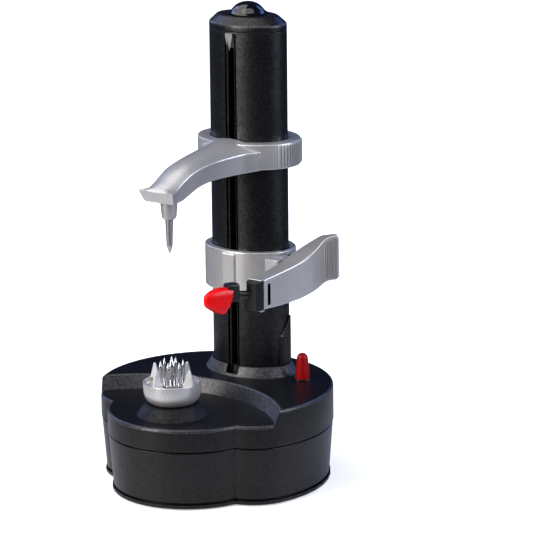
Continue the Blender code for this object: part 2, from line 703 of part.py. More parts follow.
def make_cells():
    for i in range(CELL_COUNT):
        name = f"battery_cell_{i + 1}"
        tip = CELL_HALF_LENGTH
        shoulder = tip - CELL_TIP_LENGTH
        cell = turned(name, [(0, tip), (CELL_TIP_RADIUS, tip), (CELL_TIP_RADIUS, shoulder),
                             (CELL_RADIUS, shoulder), (CELL_RADIUS, -tip), (0, -tip)], (0, 0), CELL_WRAP,
                      HIDDEN_SIDES)
        side = 1 if i % 2 else -1
        cell.rotation_euler.x = side * pi / 2
        x = BOX_CENTRE_X + (i - (CELL_COUNT - 1) / 2) * CELL_PITCH
        cell.location = (x, BOX_CENTRE_Y, CELL_Z)


def make_contacts():
    """Nickel strips: each bridges the ends of two neighbouring cells or ends the row."""
    inner = CELL_HALF_LENGTH + GAP
    edge = GAP * 2
    first = BOX_CENTRE_X - CELL_COUNT / 2 * CELL_PITCH
    bridges = [(0, -1), (CELL_COUNT // 2, -1), (1, 1)]
    for i, (start, side) in enumerate(bridges, 1):
        stop = start + CELL_COUNT // 2
        ends = (BOX_CENTRE_Y + side * inner, BOX_CENTRE_Y + side * (inner + CONTACT_THICK))
        low_y, high_y = min(ends), max(ends)
        box(f"battery_contact_{i}", (first + start * CELL_PITCH + edge, low_y, CELL_Z - CONTACT_HEIGHT / 2),
            (first + stop * CELL_PITCH - edge, high_y, CELL_Z + CONTACT_HEIGHT / 2), STEEL)


def make_base_tray():
    foot_inset = TRAY_INSET + TRAY_DRAFT
    lip_inset = BASE_WALL + GAP
    lip_top = TRAY_TOP + LIP_HEIGHT
    shelf = TRAY_TOP - LIP_HEIGHT
    tray = skin("base_tray", [base_ring(foot_inset, TRAY_FOOT), base_ring(TRAY_INSET, TRAY_TOP),
                              base_ring(lip_inset, TRAY_TOP), base_ring(lip_inset, lip_top),
                              base_ring(lip_inset + LIP_WALL, lip_top),
                              base_ring(lip_inset + LIP_WALL, shelf),
                              base_ring(foot_inset + BASE_WALL, TRAY_FOOT)], BLACK, closed=True)
    start, end = jack_line()
    cut(tray, rod("jack_hole", start, end, JACK_RADIUS + GAP))


def tray_back(height):
    """Where the tray's outer face is at the back, at a height."""
    share = (height - TRAY_FOOT) / (TRAY_TOP - TRAY_FOOT)
    return REAR_Y + REAR_RADIUS - TRAY_INSET - TRAY_DRAFT * (1 - share)


def jack_line():
    back = tray_back(JACK_HEIGHT)
    return (0, back - JACK_LENGTH, JACK_HEIGHT), (0, back + OVERRUN, JACK_HEIGHT)


def make_jack():
    back = tray_back(JACK_HEIGHT - JACK_RADIUS) - GAP
    wall_inside = back - BASE_WALL - 2 * GAP
    inner_end = back - JACK_LENGTH
    flange_radius = JACK_RADIUS + JACK_FLANGE
    jack = rod("adaptor_inlet", (0, inner_end, JACK_HEIGHT), (0, back, JACK_HEIGHT), JACK_RADIUS, BLACK)
    join(jack, rod("inlet_flange", (0, wall_inside - JACK_FLANGE, JACK_HEIGHT),
                   (0, wall_inside, JACK_HEIGHT), flange_radius))
    floor = inner_end + JACK_FLANGE
    cut(jack, rod("inlet_bore", (0, floor, JACK_HEIGHT), (0, back + OVERRUN, JACK_HEIGHT), JACK_BORE))
    join(jack, rod("inlet_pin", (0, inner_end + JACK_FLANGE / 2, JACK_HEIGHT),
                   (0, back - OVERRUN, JACK_HEIGHT), JACK_PIN_RADIUS, sides=HIDDEN_SIDES // 2))


def gear_outline(centre, teeth, module, phase):
    """Teeth with straight flanks; phase is where one tooth points, about +Z from +X."""
    pitch = module * teeth / 2
    tip, root = pitch + module * ADDENDUM_SHARE, pitch - module * DEDENDUM_SHARE
    step = 2 * pi / teeth
    corners = [(root, -ROOT_SHARE), (tip, -TIP_SHARE), (tip, TIP_SHARE), (root, ROOT_SHARE)]
    return [polar(centre, radius, phase + (tooth + share) * step)
            for tooth in range(teeth) for radius, share in corners]


def meshing_phase(phase, line, teeth, follower_teeth):
    """The follower's phase when a gear at phase drives it along the line of centres."""
    return line + pi + pi / follower_teeth - (phase - line) * teeth / follower_teeth


def gear(name, centre, teeth, module, phase, low, high, bore, material=INNER):
    outline = gear_outline(centre, teeth, module, phase)
    return plate(name, outline, low, high, material, [circle(centre, bore)])


def hub(name, centre, bore, wall, low, high):
    return ring(name, bore, bore + wall, low, high, centre, steps=HIDDEN_SIDES)


def make_final_gear(name, centre, phase, bore):
    """A wide gear with a hub that stands on its bearing's flange."""
    wheel = gear(name, centre, FINAL_TEETH, FINAL_MODULE, phase, LEVEL_3, TRAIN_TOP, bore)
    join(wheel, hub(name + "_hub", centre, bore, HUB_WALL, FLANGE_TOP + GAP, LEVEL_3 + LEVEL_GAP))
    return wheel


def make_compound(name, centre, wheel_phase, low, small_teeth, small_module, small_phase, small_top):
    """A reduction gear: a large wheel below and a small one above, in one moulding."""
    bore = AXLE_RADIUS + GAP / 2
    wheel = gear(name, centre, WHEEL_TEETH, WHEEL_MODULE, wheel_phase, low, low + GEAR_THICK, bore)
    small = gear(name + "_small", centre, small_teeth, small_module, small_phase,
                 low + GEAR_THICK - LEVEL_GAP, small_top, bore)
    join(wheel, small)
    foot = CHASSIS_TOP + GAP
    join(wheel, hub(name + "_foot", centre, bore, HUB_WALL / 2, foot, low + LEVEL_GAP))
    return wheel


def make_gears():
    spindle_phase = pi / 2
    idler_phase = meshing_phase(spindle_phase, pi / 2, FINAL_TEETH, FINAL_TEETH)
    screw_phase = meshing_phase(idler_phase, pi / 2, FINAL_TEETH, FINAL_TEETH)
    pinion_phase = meshing_phase(idler_phase, SECOND_GEAR_ANGLE, FINAL_TEETH, PINION_TEETH)
    second_phase = FIRST_GEAR_ANGLE
    small_phase = meshing_phase(second_phase, FIRST_GEAR_ANGLE, WHEEL_TEETH, SMALL_TEETH)
    first_phase = MOTOR_ANGLE
    motor_phase = meshing_phase(first_phase, MOTOR_ANGLE, WHEEL_TEETH, SMALL_TEETH)
    make_final_gear("spindle_gear", (0, SPINDLE_Y), spindle_phase, SPINDLE_RADIUS + GAP)
    make_final_gear("screw_gear", (0, TOWER_Y), screw_phase, SCREW_RADIUS + GAP)
    idler_bore = AXLE_RADIUS + GAP / 2
    idler = gear("idler_gear", IDLER, FINAL_TEETH, FINAL_MODULE, idler_phase, LEVEL_3, TRAIN_TOP, idler_bore)
    join(idler, hub("idler_hub", IDLER, idler_bore, HUB_WALL, CHASSIS_TOP + GAP, LEVEL_3 + LEVEL_GAP))
    make_compound("second_reduction_gear", SECOND_GEAR, second_phase, LEVEL_2,
                  PINION_TEETH, FINAL_MODULE, pinion_phase, TRAIN_TOP)
    make_compound("first_reduction_gear", FIRST_GEAR, first_phase, LEVEL_1,
                  SMALL_TEETH, WHEEL_MODULE, small_phase, LEVEL_2 + GEAR_THICK)
    make_motor_pinion(motor_phase)


def make_motor_pinion(phase):
    pinion = gear("motor_pinion", MOTOR, SMALL_TEETH, WHEEL_MODULE, phase, LEVEL_1, LEVEL_1 + GEAR_THICK,
                  MOTOR_SHAFT_RADIUS / 2, BRASS)
    shaft_foot = CHASSIS_FOOT - MOTOR_LENGTH / 2
    join(pinion, rod("motor_shaft", (*MOTOR, shaft_foot), (*MOTOR, LEVEL_1 + GEAR_THICK + GAP),
                     MOTOR_SHAFT_RADIUS, sides=HIDDEN_SIDES // 2))


def make_axles():
    tops = {"idler_axle": (IDLER, TRAIN_TOP), "second_axle": (SECOND_GEAR, TRAIN_TOP),
            "first_axle": (FIRST_GEAR, LEVEL_2 + GEAR_THICK)}
    for name, (centre, top) in tops.items():
        head = top + GAP
        turned(name, [(0, head + AXLE_HEAD_THICK), (AXLE_HEAD_RADIUS, head + AXLE_HEAD_THICK),
                      (AXLE_HEAD_RADIUS, head), (AXLE_RADIUS, head), (AXLE_RADIUS, CHASSIS_FOOT - GAP),
                      (0, CHASSIS_FOOT - GAP)], centre, STEEL, HIDDEN_SIDES)


def make_chassis():
    shaft_hole = SPINDLE_RADIUS + BUSH_WALL + GAP
    screw_hole = SCREW_END_RADIUS + BEARING_WALL + GAP
    holes = [circle((0, SPINDLE_Y), shaft_hole), circle((0, TOWER_Y), screw_hole),
             circle(MOTOR, MOTOR_BOSS_RADIUS + GAP)]
    holes += [circle(centre, AXLE_RADIUS + GAP / 3) for centre in (IDLER, SECOND_GEAR, FIRST_GEAR)]
    plate("gear_chassis", base_outline(CHASSIS_INSET), CHASSIS_FOOT, CHASSIS_TOP, STEEL, holes)


def make_motor():
    top = CHASSIS_FOOT - GAP
    foot = top - MOTOR_LENGTH
    bore = MOTOR_SHAFT_RADIUS + GAP
    bore_floor = CHASSIS_FOOT - MOTOR_LENGTH * MOTOR_BORE_SHARE
    turned("motor", [(0, bore_floor), (bore, bore_floor), (bore, top + MOTOR_BOSS_HEIGHT),
                     (MOTOR_BOSS_RADIUS, top + MOTOR_BOSS_HEIGHT), (MOTOR_BOSS_RADIUS, top),
                     (MOTOR_RADIUS, top), (MOTOR_RADIUS, foot), (MOTOR_BOSS_RADIUS, foot),
                     (MOTOR_BOSS_RADIUS, foot - MOTOR_BOSS_HEIGHT), (0, foot - MOTOR_BOSS_HEIGHT)],
           MOTOR, STEEL)


def make_lower_bearings():
    for name, y, bore in (("spindle_lower_bush", SPINDLE_Y, SPINDLE_RADIUS + GAP / 2),
                          ("screw_lower_bush", TOWER_Y, SCREW_END_RADIUS + GAP / 2)):
        wall = BUSH_WALL if y == SPINDLE_Y else BEARING_WALL
        body = bore - GAP / 2 + wall
        foot = CHASSIS_TOP - BEARING_LENGTH / 2
        flange_foot = CHASSIS_TOP + GAP
        flange = body + BUSH_FLANGE
        turned(name, [(bore, FLANGE_TOP), (flange, FLANGE_TOP), (flange, flange_foot),
                      (body, flange_foot), (body, foot), (bore, foot)], (0, y), BRASS,
               HIDDEN_SIDES, closed=True)


def crescent(name, grow, low, high):
    """The space in front of the crescent step: a cone that widens upwards."""
    centre = (0, TOWER_Y - CRESCENT_CENTRE)
    lean = CRESCENT_LEAN / (UPPER_DECK - LOWER_DECK)
    top_radius = CRESCENT_RADIUS + grow + (high - low) * lean
    return rod(name, (*centre, low), (*centre, high), CRESCENT_RADIUS + grow, end_radius=top_radius,
               sides=WIDE_SIDES * 2)


def rounded_block(name, low, top, inset, material=None):
    """The base outline as a solid with its top edge rounded."""
    rings = [base_ring(inset, low)]
    for i in range(4):
        turn = pi / 2 * i / 3
        rings.append(base_ring(inset + EDGE_ROUND * (1 - cos(turn)), top - EDGE_ROUND * (1 - sin(turn))))
    return skin(name, rings, material)


def make_cover():
    cover = rounded_block("base_cover", COVER_FOOT, LOWER_DECK, 0, BLACK)
    upper = rounded_block("cover_upper", LOWER_DECK - LIP_HEIGHT, UPPER_DECK, GAP / 10)
    cut(upper, crescent("crescent_cut", 0, LOWER_DECK, UPPER_DECK + OVERRUN))
    hollow = skin("cover_hollow", [base_ring(BASE_WALL, COVER_FOOT - OVERRUN),
                                   base_ring(BASE_WALL, UPPER_DECK - BASE_WALL)])
    under_lower = LOWER_DECK - BASE_WALL
    cut(hollow, crescent("crescent_under", BASE_WALL, under_lower, UPPER_DECK))
    join(cover, upper)
    cut(cover, hollow)
    add_socket(cover)
    add_cone(cover)
    hole_low = UPPER_DECK - BASE_WALL - OVERRUN
    button = (BUTTON_X, TOWER_Y - BUTTON_SETBACK)
    cut(cover, rod("button_hole", (*button, hole_low), (*button, UPPER_DECK + OVERRUN),
                   BUTTON_RADIUS + BEZEL_WALL + RUNNING_GAP + GAP))


def add_socket(cover):
    """The socket that holds the tower's foot, with its flared pedestal on top."""
    floor_low = TOWER_FOOT - GAP - SOCKET_FLOOR
    outer = SOCKET_WALL + GAP
    sunk = UPPER_DECK - BASE_WALL / 2
    sleeve = skin("socket_sleeve", [oval_ring(outer, floor_low), oval_ring(outer, sunk)])
    flare = skin("pedestal", [oval_ring(PEDESTAL_SPREAD_X, sunk, PEDESTAL_SPREAD_Y),
                              oval_ring(PEDESTAL_SPREAD_X, UPPER_DECK, PEDESTAL_SPREAD_Y),
                              oval_ring(PEDESTAL_TOP_WALL + GAP, PEDESTAL_TOP)])
    join(cover, sleeve, flare)
    cut(cover, skin("socket_bore", [oval_ring(GAP, TOWER_FOOT - GAP),
                                    oval_ring(GAP, PEDESTAL_TOP + OVERRUN)]))
    cut(cover, rod("screw_passage", (0, TOWER_Y, floor_low - OVERRUN), (0, TOWER_Y, TOWER_FOOT),
                   SCREW_RADIUS + OVERRUN))
    front = TOWER_Y - TOWER_HALF_DEPTH
    half = SLOT_WIDTH / 2
    cut(cover, box("pedestal_notch", (-half, front - 2 * PEDESTAL_SPREAD_Y, SLOT_FOOT),
                   (half, front + SLOT_DEPTH, PEDESTAL_TOP + OVERRUN)))


def add_cone(cover):
    """The cone under the cup, with the spindle's upper bush through its middle."""
    sunk = LOWER_DECK - BASE_WALL / 2
    place_low, place_high = (0, SPINDLE_Y, sunk), (0, SPINDLE_Y, CONE_TOP)
    slope = (CONE_FOOT_RADIUS - CONE_TOP_RADIUS) / (CONE_TOP - LOWER_DECK)
    foot_radius = CONE_FOOT_RADIUS + slope * (LOWER_DECK - sunk)
    join(cover, rod("spindle_cone", place_low, place_high, foot_radius, end_radius=CONE_TOP_RADIUS,
                    sides=WIDE_SIDES))
    cut(cover, rod("bush_hole", (0, SPINDLE_Y, sunk - BASE_WALL), (0, SPINDLE_Y, CONE_TOP + OVERRUN),
                   SPINDLE_RADIUS + BUSH_WALL + GAP))


def make_upper_bush():
    bore = SPINDLE_RADIUS + GAP / 2
    body = SPINDLE_RADIUS + BUSH_WALL
    flange = body + BUSH_FLANGE
    high = CONE_TOP - GAP
    under = LOWER_DECK - BASE_WALL - GAP
    low = under - BUSH_FLANGE_THICK
    turned("spindle_upper_bush", [(bore, high), (body, high), (body, under), (flange, under), (flange, low),
                                  (bore, low)], (0, SPINDLE_Y), BRASS, HIDDEN_SIDES, closed=True)


def make_column():
    front = TOWER_Y - TOWER_HALF_DEPTH
    column = plate("tower_column", oval(0), TOWER_FOOT, TOWER_TOP, BLACK, [oval(-TOWER_WALL)])
    recess_half, slit_half = SLOT_WIDTH / 2, SLIT_WIDTH / 2
    cut(column, box("slot_recess", (-recess_half, front - OVERRUN, SLOT_FOOT),
                    (recess_half, front + SLOT_DEPTH, SLOT_TOP)))
    cut(column, box("slot_slit", (-slit_half, front - OVERRUN, PEDESTAL_TOP),
                    (slit_half, front + 2 * TOWER_WALL, SLOT_TOP - SLOT_WIDTH)))
    add_cam_rib(column)
    screw_x = -(recess_half + slit_half) / 2
    seat, fit = front + SLOT_DEPTH, GAP / 3
    bottom = seat + RAIL_SCREW_LENGTH
    cut(column, rod("rail_screw_hole", (screw_x, front, RAIL_SCREW_HEIGHT),
                    (screw_x, bottom, RAIL_SCREW_HEIGHT), RAIL_SCREW_RADIUS + fit, sides=HIDDEN_SIDES // 2))
    rod("rail_screw", (screw_x, seat + fit, RAIL_SCREW_HEIGHT), (screw_x, bottom - fit, RAIL_SCREW_HEIGHT),
        RAIL_SCREW_RADIUS, STEEL, sides=HIDDEN_SIDES // 2)


def add_cam_rib(column):
    """The rib low on the tower's right side, in line with the carriage's relief, with a sloping top."""
    face = TOWER_HALF_WIDTH
    half = CAM_RIB_WIDTH / 2
    foot = PEDESTAL_TOP + GAP
    inner = face - TOWER_WALL / 2
    outer = face + CAM_RIB_PROUD
    section = [(TOWER_Y - half, foot), (TOWER_Y + half, foot), (TOWER_Y + half, CAM_RIB_TOP),
               (TOWER_Y - half, CAM_RIB_TOP - CAM_RIB_RAMP)]
    rib = skin("cam_rib", [[(inner, y, z) for y, z in section], [(outer, y, z) for y, z in section]])
    join(column, rib)


def make_cap():
    inset_y = CAP_INSET
    band_top = CAP_FOOT + CAP_BAND
    cap = skin("tower_cap", [oval_ring(0, CAP_FOOT), oval_ring(0, band_top),
                             oval_ring(-CAP_INSET, CAP_TOP, -inset_y)], BLACK)
    plug_low = CAP_FOOT - CAP_PLUG
    plug = skin("cap_plug", [oval_ring(-TOWER_WALL - GAP, plug_low),
                             oval_ring(-TOWER_WALL - GAP, CAP_FOOT + CAP_BAND / 2)])
    join(cap, plug)
    bush = SCREW_END_RADIUS + BEARING_WALL + GAP
    cut(cap, rod("top_bush_hole", (0, TOWER_Y, plug_low - OVERRUN), (0, TOWER_Y, plug_low + CAP_PLUG), bush))
    cut(cap, rod("dome_peg_hole", (0, TOWER_Y, CAP_TOP - DOME_PEG_LENGTH - GAP),
                 (0, TOWER_Y, CAP_TOP + OVERRUN), DOME_PEG_RADIUS + GAP))


def make_top_bush():
    bore = SCREW_END_RADIUS + GAP / 2
    top = CAP_FOOT - GAP
    ring("screw_top_bush", bore, SCREW_END_RADIUS + BEARING_WALL, top - BEARING_LENGTH, top, (0, TOWER_Y),
         BRASS, HIDDEN_SIDES)


def make_dome():
    seat = CAP_TOP + GAP
    crown = DOME_HEIGHT - DOME_FOOT
    flare = DOME_RADIUS * DOME_WAIST_SHARE
    sphere = (flare ** 2 + crown ** 2) / (2 * crown)
    widest = acos((sphere - crown) / sphere)
    dome = [(sphere * sin(widest * i / 7), seat + DOME_HEIGHT - sphere * (1 - cos(widest * i / 7)))
            for i in range(8)]
    profile = dome + [(DOME_RADIUS, seat + DOME_FOOT / 3), (DOME_RADIUS, seat), (DOME_PEG_RADIUS, seat),
                      (DOME_PEG_RADIUS, seat - DOME_PEG_LENGTH), (0, seat - DOME_PEG_LENGTH)]
    turned("cap_dome", profile, (0, TOWER_Y), GLOSS_BLACK)


def make_lead_screw():
    thread_low = FLANGE_TOP + GAP
    top_bush_low = CAP_FOOT - GAP - BEARING_LENGTH
    thread_high = top_bush_low - GAP
    top = CAP_FOOT - 2 * GAP
    turned("lead_screw", [(0, top), (SCREW_END_RADIUS, top), (SCREW_END_RADIUS, thread_high),
                          (SCREW_RADIUS, thread_high), (SCREW_RADIUS, thread_low),
                          (SCREW_END_RADIUS, thread_low), (SCREW_END_RADIUS, SCREW_FOOT), (0, SCREW_FOOT)],
           (0, TOWER_Y), STEEL)


def make_spindle():
    top = CUP_BOTTOM + CUP_SOCKET_DEPTH - GAP
    rod("spindle_shaft", (0, SPINDLE_Y, SPINDLE_FOOT), (0, SPINDLE_Y, top), SPINDLE_RADIUS, STEEL)


def make_cup():
    floor = CUP_RIM - CUP_DISH
    socket = SPINDLE_RADIUS + GAP
    belly = CUP_BOTTOM + CUP_HEIGHT * CUP_BELLY_SHARE
    chamfer = (CUP_RADIUS - CUP_FOOT_RADIUS) / 2
    cup = turned("food_cup", [(0, floor), (CUP_RADIUS - CUP_WALL, floor), (CUP_RADIUS - CUP_WALL, CUP_RIM),
                              (CUP_RADIUS, CUP_RIM), (CUP_RADIUS, belly),
                              (CUP_RADIUS - chamfer / 2, belly - chamfer), (CUP_FOOT_RADIUS + chamfer / 2,
                              CUP_BOTTOM + chamfer / 2), (CUP_FOOT_RADIUS, CUP_BOTTOM), (0, CUP_BOTTOM)],
                 (0, SPINDLE_Y), SILVER, WIDE_SIDES)
    for i in range(FIN_COUNT):
        join(cup, make_fin(f"cup_fin_{i}", FIN_PHASE + 2 * pi * i / FIN_COUNT))
    cut(cup, rod("spindle_socket", (0, SPINDLE_Y, CUP_BOTTOM - OVERRUN),
                 (0, SPINDLE_Y, CUP_BOTTOM + CUP_SOCKET_DEPTH), socket))


def make_fin(name, angle):
    """An upright triangular plate that stands on the cup, along a radius."""
    floor = CUP_RIM - CUP_DISH
    root = floor - CUP_WALL / 2
    outer = CUP_RADIUS - CUP_WALL / 3
    profile = [(FIN_INNER_RADIUS, root), (outer, root), (outer, CUP_RIM),
               (FIN_APEX_RADIUS, CUP_RIM + FIN_HEIGHT), (FIN_APEX_RADIUS - FIN_THICK, CUP_RIM + FIN_HEIGHT),
               (FIN_INNER_RADIUS, floor + CUP_WALL / 2)]
    sides = []
    for offset in (-FIN_THICK / 2, FIN_THICK / 2):
        sides.append([(radius * sin(angle) + offset * cos(angle),
                       SPINDLE_Y - radius * cos(angle) + offset * sin(angle), height)
                      for radius, height in profile])
    return skin(name, sides)


def make_prongs():
    low = CUP_RIM - CUP_DISH + GAP
    disc_top = low + PRONG_DISC_THICK
    centre = (0, SPINDLE_Y)
    prongs = turned("prong_plate", [(0, disc_top), (PRONG_DISC_RADIUS, disc_top), (PRONG_DISC_RADIUS, low),
                                    (0, low)], centre, STEEL)
    join(prongs, pointed("centre_spike", centre, disc_top - PRONG_DISC_THICK / 2, SPIKE_RADIUS,
                         SPIKE_HEIGHT, SPIKE_POINT))
    for i in range(PRONG_COUNT):
        spot = arc(centre, PRONG_RING_RADIUS, PRONG_PHASE + 2 * pi * i / PRONG_COUNT, 0, 2)[0]
        join(prongs, pointed(f"prong_{i}", spot, disc_top - PRONG_DISC_THICK / 2, PRONG_RADIUS,
                             PRONG_HEIGHT, PRONG_POINT))


def pointed(name, centre, low, radius, height, point):
    return turned(name, [(0, low + height), (radius, low + height - point), (radius, low), (0, low)],
                  centre, None, HIDDEN_SIDES // 2)


def collar(name, wall, low, high, material=None):
    """A ring that slides on the tower, with its outer edges rounded."""
    soft = EDGE_ROUND / 2
    bore = RUNNING_GAP
    return skin(name, [oval_ring(bore, low), oval_ring(wall - soft, low), oval_ring(wall, low + soft),
                       oval_ring(wall, high - soft), oval_ring(wall - soft, high), oval_ring(bore, high)],
                material, closed=True)


def soften(piece, width, segments=2, angle=radians(40)):
    bevel = piece.modifiers.new("soften", "BEVEL")
    bevel.width = width
    bevel.segments = segments
    bevel.limit_method = "ANGLE"
    bevel.angle_limit = angle
    return piece


def arm_section(forward, top, bottom, top_half, bottom_half, lean):
    """One section across the arm: flat below, gently arched on top."""
    y = TOWER_Y - forward
    section = [(bottom_half, y + lean, bottom), (-bottom_half, y + lean, bottom)]
    count = 8
    for i in range(count + 1):
        across = -cos(pi * i / count)
        section.append((top_half * across, y, top + ARM_CROWN * (1 - across ** 2)))
    return section


def arm_underside(station):
    return ARM_RING_FOOT - ARM_NOSE_DIP * station[2]


def make_arm():
    arm = collar("top_arm", ARM_RING_WALL, ARM_RING_FOOT, ARM_TOP, SILVER)
    sections = []
    for station in ARM_STATIONS:
        length_share, drop_share, _, top_share, foot_share = station
        top = ARM_TOP - ARM_CROWN - ARM_NOSE_DROP * drop_share
        lean = ARM_NOSE_LEAN if station is ARM_STATIONS[-1] else 0
        sections.append(arm_section(ARM_ROOT + ARM_LENGTH * length_share, top, arm_underside(station),
                                    ARM_HALF_WIDTH * top_share, ARM_HALF_WIDTH * foot_share, lean))
    body = skin("arm_body", sections)
    soften(body, EDGE_ROUND / 2)
    clear = (RUNNING_GAP + ARM_RING_WALL) / 2
    cut(body, skin("arm_bore", [oval_ring(clear, ARM_RING_FOOT - ARM_RING_HEIGHT),
                                oval_ring(clear, ARM_TOP + ARM_RING_HEIGHT)]))
    join(arm, body)
    half = SLOT_WIDTH / 2 - TONGUE_GAP
    join(arm, box("arm_tongue", (-half, TOWER_FRONT - ARM_RING_WALL / 4, ARM_RING_FOOT + EDGE_ROUND),
                  (half, SLOT_FLOOR_Y - TONGUE_GAP, ARM_TOP - EDGE_ROUND)))
    cut_brake_pocket(arm)
    roof = under_pin() + HOLDER_NECK_LENGTH + GAP
    cut(arm, rod("holder_hole", (0, SPINDLE_Y, under_pin() - ARM_RING_HEIGHT), (0, SPINDLE_Y, roof),
                 HOLDER_NECK_RADIUS + GAP))


def under_pin():
    """Height of the arm's underside above the cup's axis, between two of its sections."""
    share = (SPINDLE_TO_TOWER - ARM_ROOT) / ARM_LENGTH
    before = [station for station in ARM_STATIONS if station[0] <= share][-1]
    after = [station for station in ARM_STATIONS if station[0] > share][0]
    mix = (share - before[0]) / (after[0] - before[0])
    return arm_underside(before) * (1 - mix) + arm_underside(after) * mix


def shoe_heights():
    middle = ARM_RING_FOOT + ARM_RING_HEIGHT / 2
    return middle - SHOE_HEIGHT / 2, middle + SHOE_HEIGHT / 2


def cut_brake_pocket(arm):
    low, high = shoe_heights()
    half = SHOE_WIDTH / 2 + GAP
    back = TOWER_BACK + RUNNING_GAP + SHOE_THICK + LEAF_BOW + LEAF_THICK
    cut(arm, box("brake_pocket", (-half, TOWER_BACK - OVERRUN, low - GAP), (half, back, high + GAP)))


def make_brake():
    low, high = shoe_heights()
    half = SHOE_WIDTH / 2
    back = TOWER_BACK + SHOE_THICK
    shoe = box("brake_shoe", (-half, TOWER_BACK - SHOE_THICK, low), (half, back, high), RUBBER)
    cut(shoe, skin("shoe_face", [oval_ring(GAP / 2, low - OVERRUN), oval_ring(GAP / 2, high + OVERRUN)]))
    make_leaf(back + GAP / 2, low + GAP, high - GAP)


def make_leaf(front, low, high):
    """The bowed leaf spring that presses the shoe against the tower."""
    half = SHOE_WIDTH / 2 - GAP
    count = 8
    inner, outer = [], []
    for i in range(count + 1):
        share = i / count
        y = front + LEAF_BOW * (1 - 4 * share * (1 - share))
        height = low + (high - low) * share
        inner.append((y, height))
        outer.append((y + LEAF_THICK, height))
    outline = inner + outer[::-1]
    skin("brake_spring", [[(-half, y, z) for y, z in outline], [(half, y, z) for y, z in outline]], STEEL)


def make_holder():
    body_top = under_pin() - GAP
    neck_top = under_pin() + HOLDER_NECK_LENGTH
    lip = HOLDER_FOOT + HOLDER_LIP
    hole = PIN_RADIUS + RUNNING_GAP
    turned("pin_holder", [(0, neck_top), (HOLDER_NECK_RADIUS, neck_top), (HOLDER_NECK_RADIUS, body_top),
                          (HOLDER_RADIUS, body_top), (HOLDER_FOOT_RADIUS, HOLDER_FOOT + HOLDER_CHAMFER),
                          (HOLDER_FOOT_RADIUS - HOLDER_CHAMFER, HOLDER_FOOT), (hole, HOLDER_FOOT),
                          (hole, lip), (HOLDER_BORE, lip), (HOLDER_BORE, body_top - HOLDER_CHAMFER),
                          (0, body_top - HOLDER_CHAMFER)], (0, SPINDLE_Y), SILVER)


def make_top_pin():
    head_foot = HOLDER_FOOT + HOLDER_LIP + GAP / 2
    head_top = head_foot + PIN_HEAD_LENGTH
    head = HOLDER_BORE - RUNNING_GAP
    turned("top_pin", [(0, head_top), (head, head_top), (head, head_foot), (PIN_RADIUS, head_foot),
                       (PIN_RADIUS, HOLDER_FOOT - HOLDER_LIP), (PIN_TIP_RADIUS, PIN_TIP + PIN_POINT),
                       (0, PIN_TIP)], (0, SPINDLE_Y), STEEL)


def make_carriage():
    slider = collar("carriage_ring", CARRIAGE_WALL, CARRIAGE_FOOT, CARRIAGE_TOP, SILVER)
    panel_half = SLOT_WIDTH / 2
    join(slider, box("front_panel",
                     (-panel_half, TOWER_FRONT - CARRIAGE_WALL - CARRIAGE_PANEL_PROUD,
                      CARRIAGE_FOOT + EDGE_ROUND),
                     (panel_half, TOWER_FRONT - CARRIAGE_WALL / 2, CARRIAGE_TOP - EDGE_ROUND)))
    key_half = SLIT_WIDTH / 2 - TONGUE_GAP
    join(slider, box("slit_key", (-key_half, TOWER_FRONT - CARRIAGE_WALL / 2, CARRIAGE_FOOT + KEY_MARGIN),
                     (key_half, NUT_Y - GAP, CARRIAGE_TOP - KEY_MARGIN)))
    half = CAM_RIB_WIDTH / 2 + TONGUE_GAP
    cut(slider, box("rib_relief", (TOWER_HALF_WIDTH - TOWER_WALL, TOWER_Y - half, CARRIAGE_FOOT - OVERRUN),
                    (TOWER_HALF_WIDTH + CAM_RIB_PROUD + TONGUE_GAP, TOWER_Y + half, CARRIAGE_TOP + OVERRUN)))
    add_hinge_barrel(slider)


def add_hinge_barrel(slider):
    """The boss on the ring's right side and the barrel that the lever turns on."""
    inside = (RUNNING_GAP + CARRIAGE_WALL) / 2
    boss_face = PIVOT_X - EYE_RADIUS - TONGUE_GAP
    boss = box("hinge_boss", (boss_face - BOSS_LENGTH, PIVOT[1] - BOSS_HALF, CARRIAGE_FOOT + EDGE_ROUND),
               (boss_face, PIVOT[1] + BOSS_HALF, CARRIAGE_TOP - EDGE_ROUND))
    cut(boss, skin("boss_bore", [oval_ring(inside, CARRIAGE_FOOT), oval_ring(inside, CARRIAGE_TOP)]))
    half = BARREL_RADIUS * WEB_SHARE
    web = box("hinge_web", (boss_face - BOSS_LENGTH / 3, PIVOT[1] - half, BARREL_FOOT),
              (PIVOT_X, PIVOT[1] + half, BARREL_TOP))
    barrel = rod("hinge_barrel", (*PIVOT, BARREL_FOOT), (*PIVOT, BARREL_TOP), BARREL_RADIUS)
    join(slider, boss, web, barrel)
    cut(slider, rod("pivot_bore", (*PIVOT, CARRIAGE_FOOT), (*PIVOT, CARRIAGE_TOP), PIVOT_RADIUS + PIN_FIT))


def make_half_nut():
    """A half nut inside the tower, at the end of the carriage's key."""
    half = NUT_WIDTH / 2
    top = NUT_FOOT + NUT_HEIGHT
    nut = box("half_nut", (-half, NUT_Y, NUT_FOOT), (half, TOWER_Y - GAP, top), BRASS)
    cut(nut, rod("screw_room", (0, TOWER_Y, NUT_FOOT - OVERRUN), (0, TOWER_Y, top + OVERRUN),
                 SCREW_RADIUS + RUNNING_GAP, sides=ROUND_SIDES))


def make_pivot_pin():
    head_foot = EYE_TOP + GAP
    head = PIVOT_RADIUS + PIVOT_HEAD
    turned("pivot_pin", [(0, head_foot + PIVOT_HEAD), (head, head_foot + PIVOT_HEAD), (head, head_foot),
                         (PIVOT_RADIUS, head_foot), (PIVOT_RADIUS, EYE_FOOT + GAP), (0, EYE_FOOT + GAP)],
           PIVOT, STEEL, HIDDEN_SIDES)


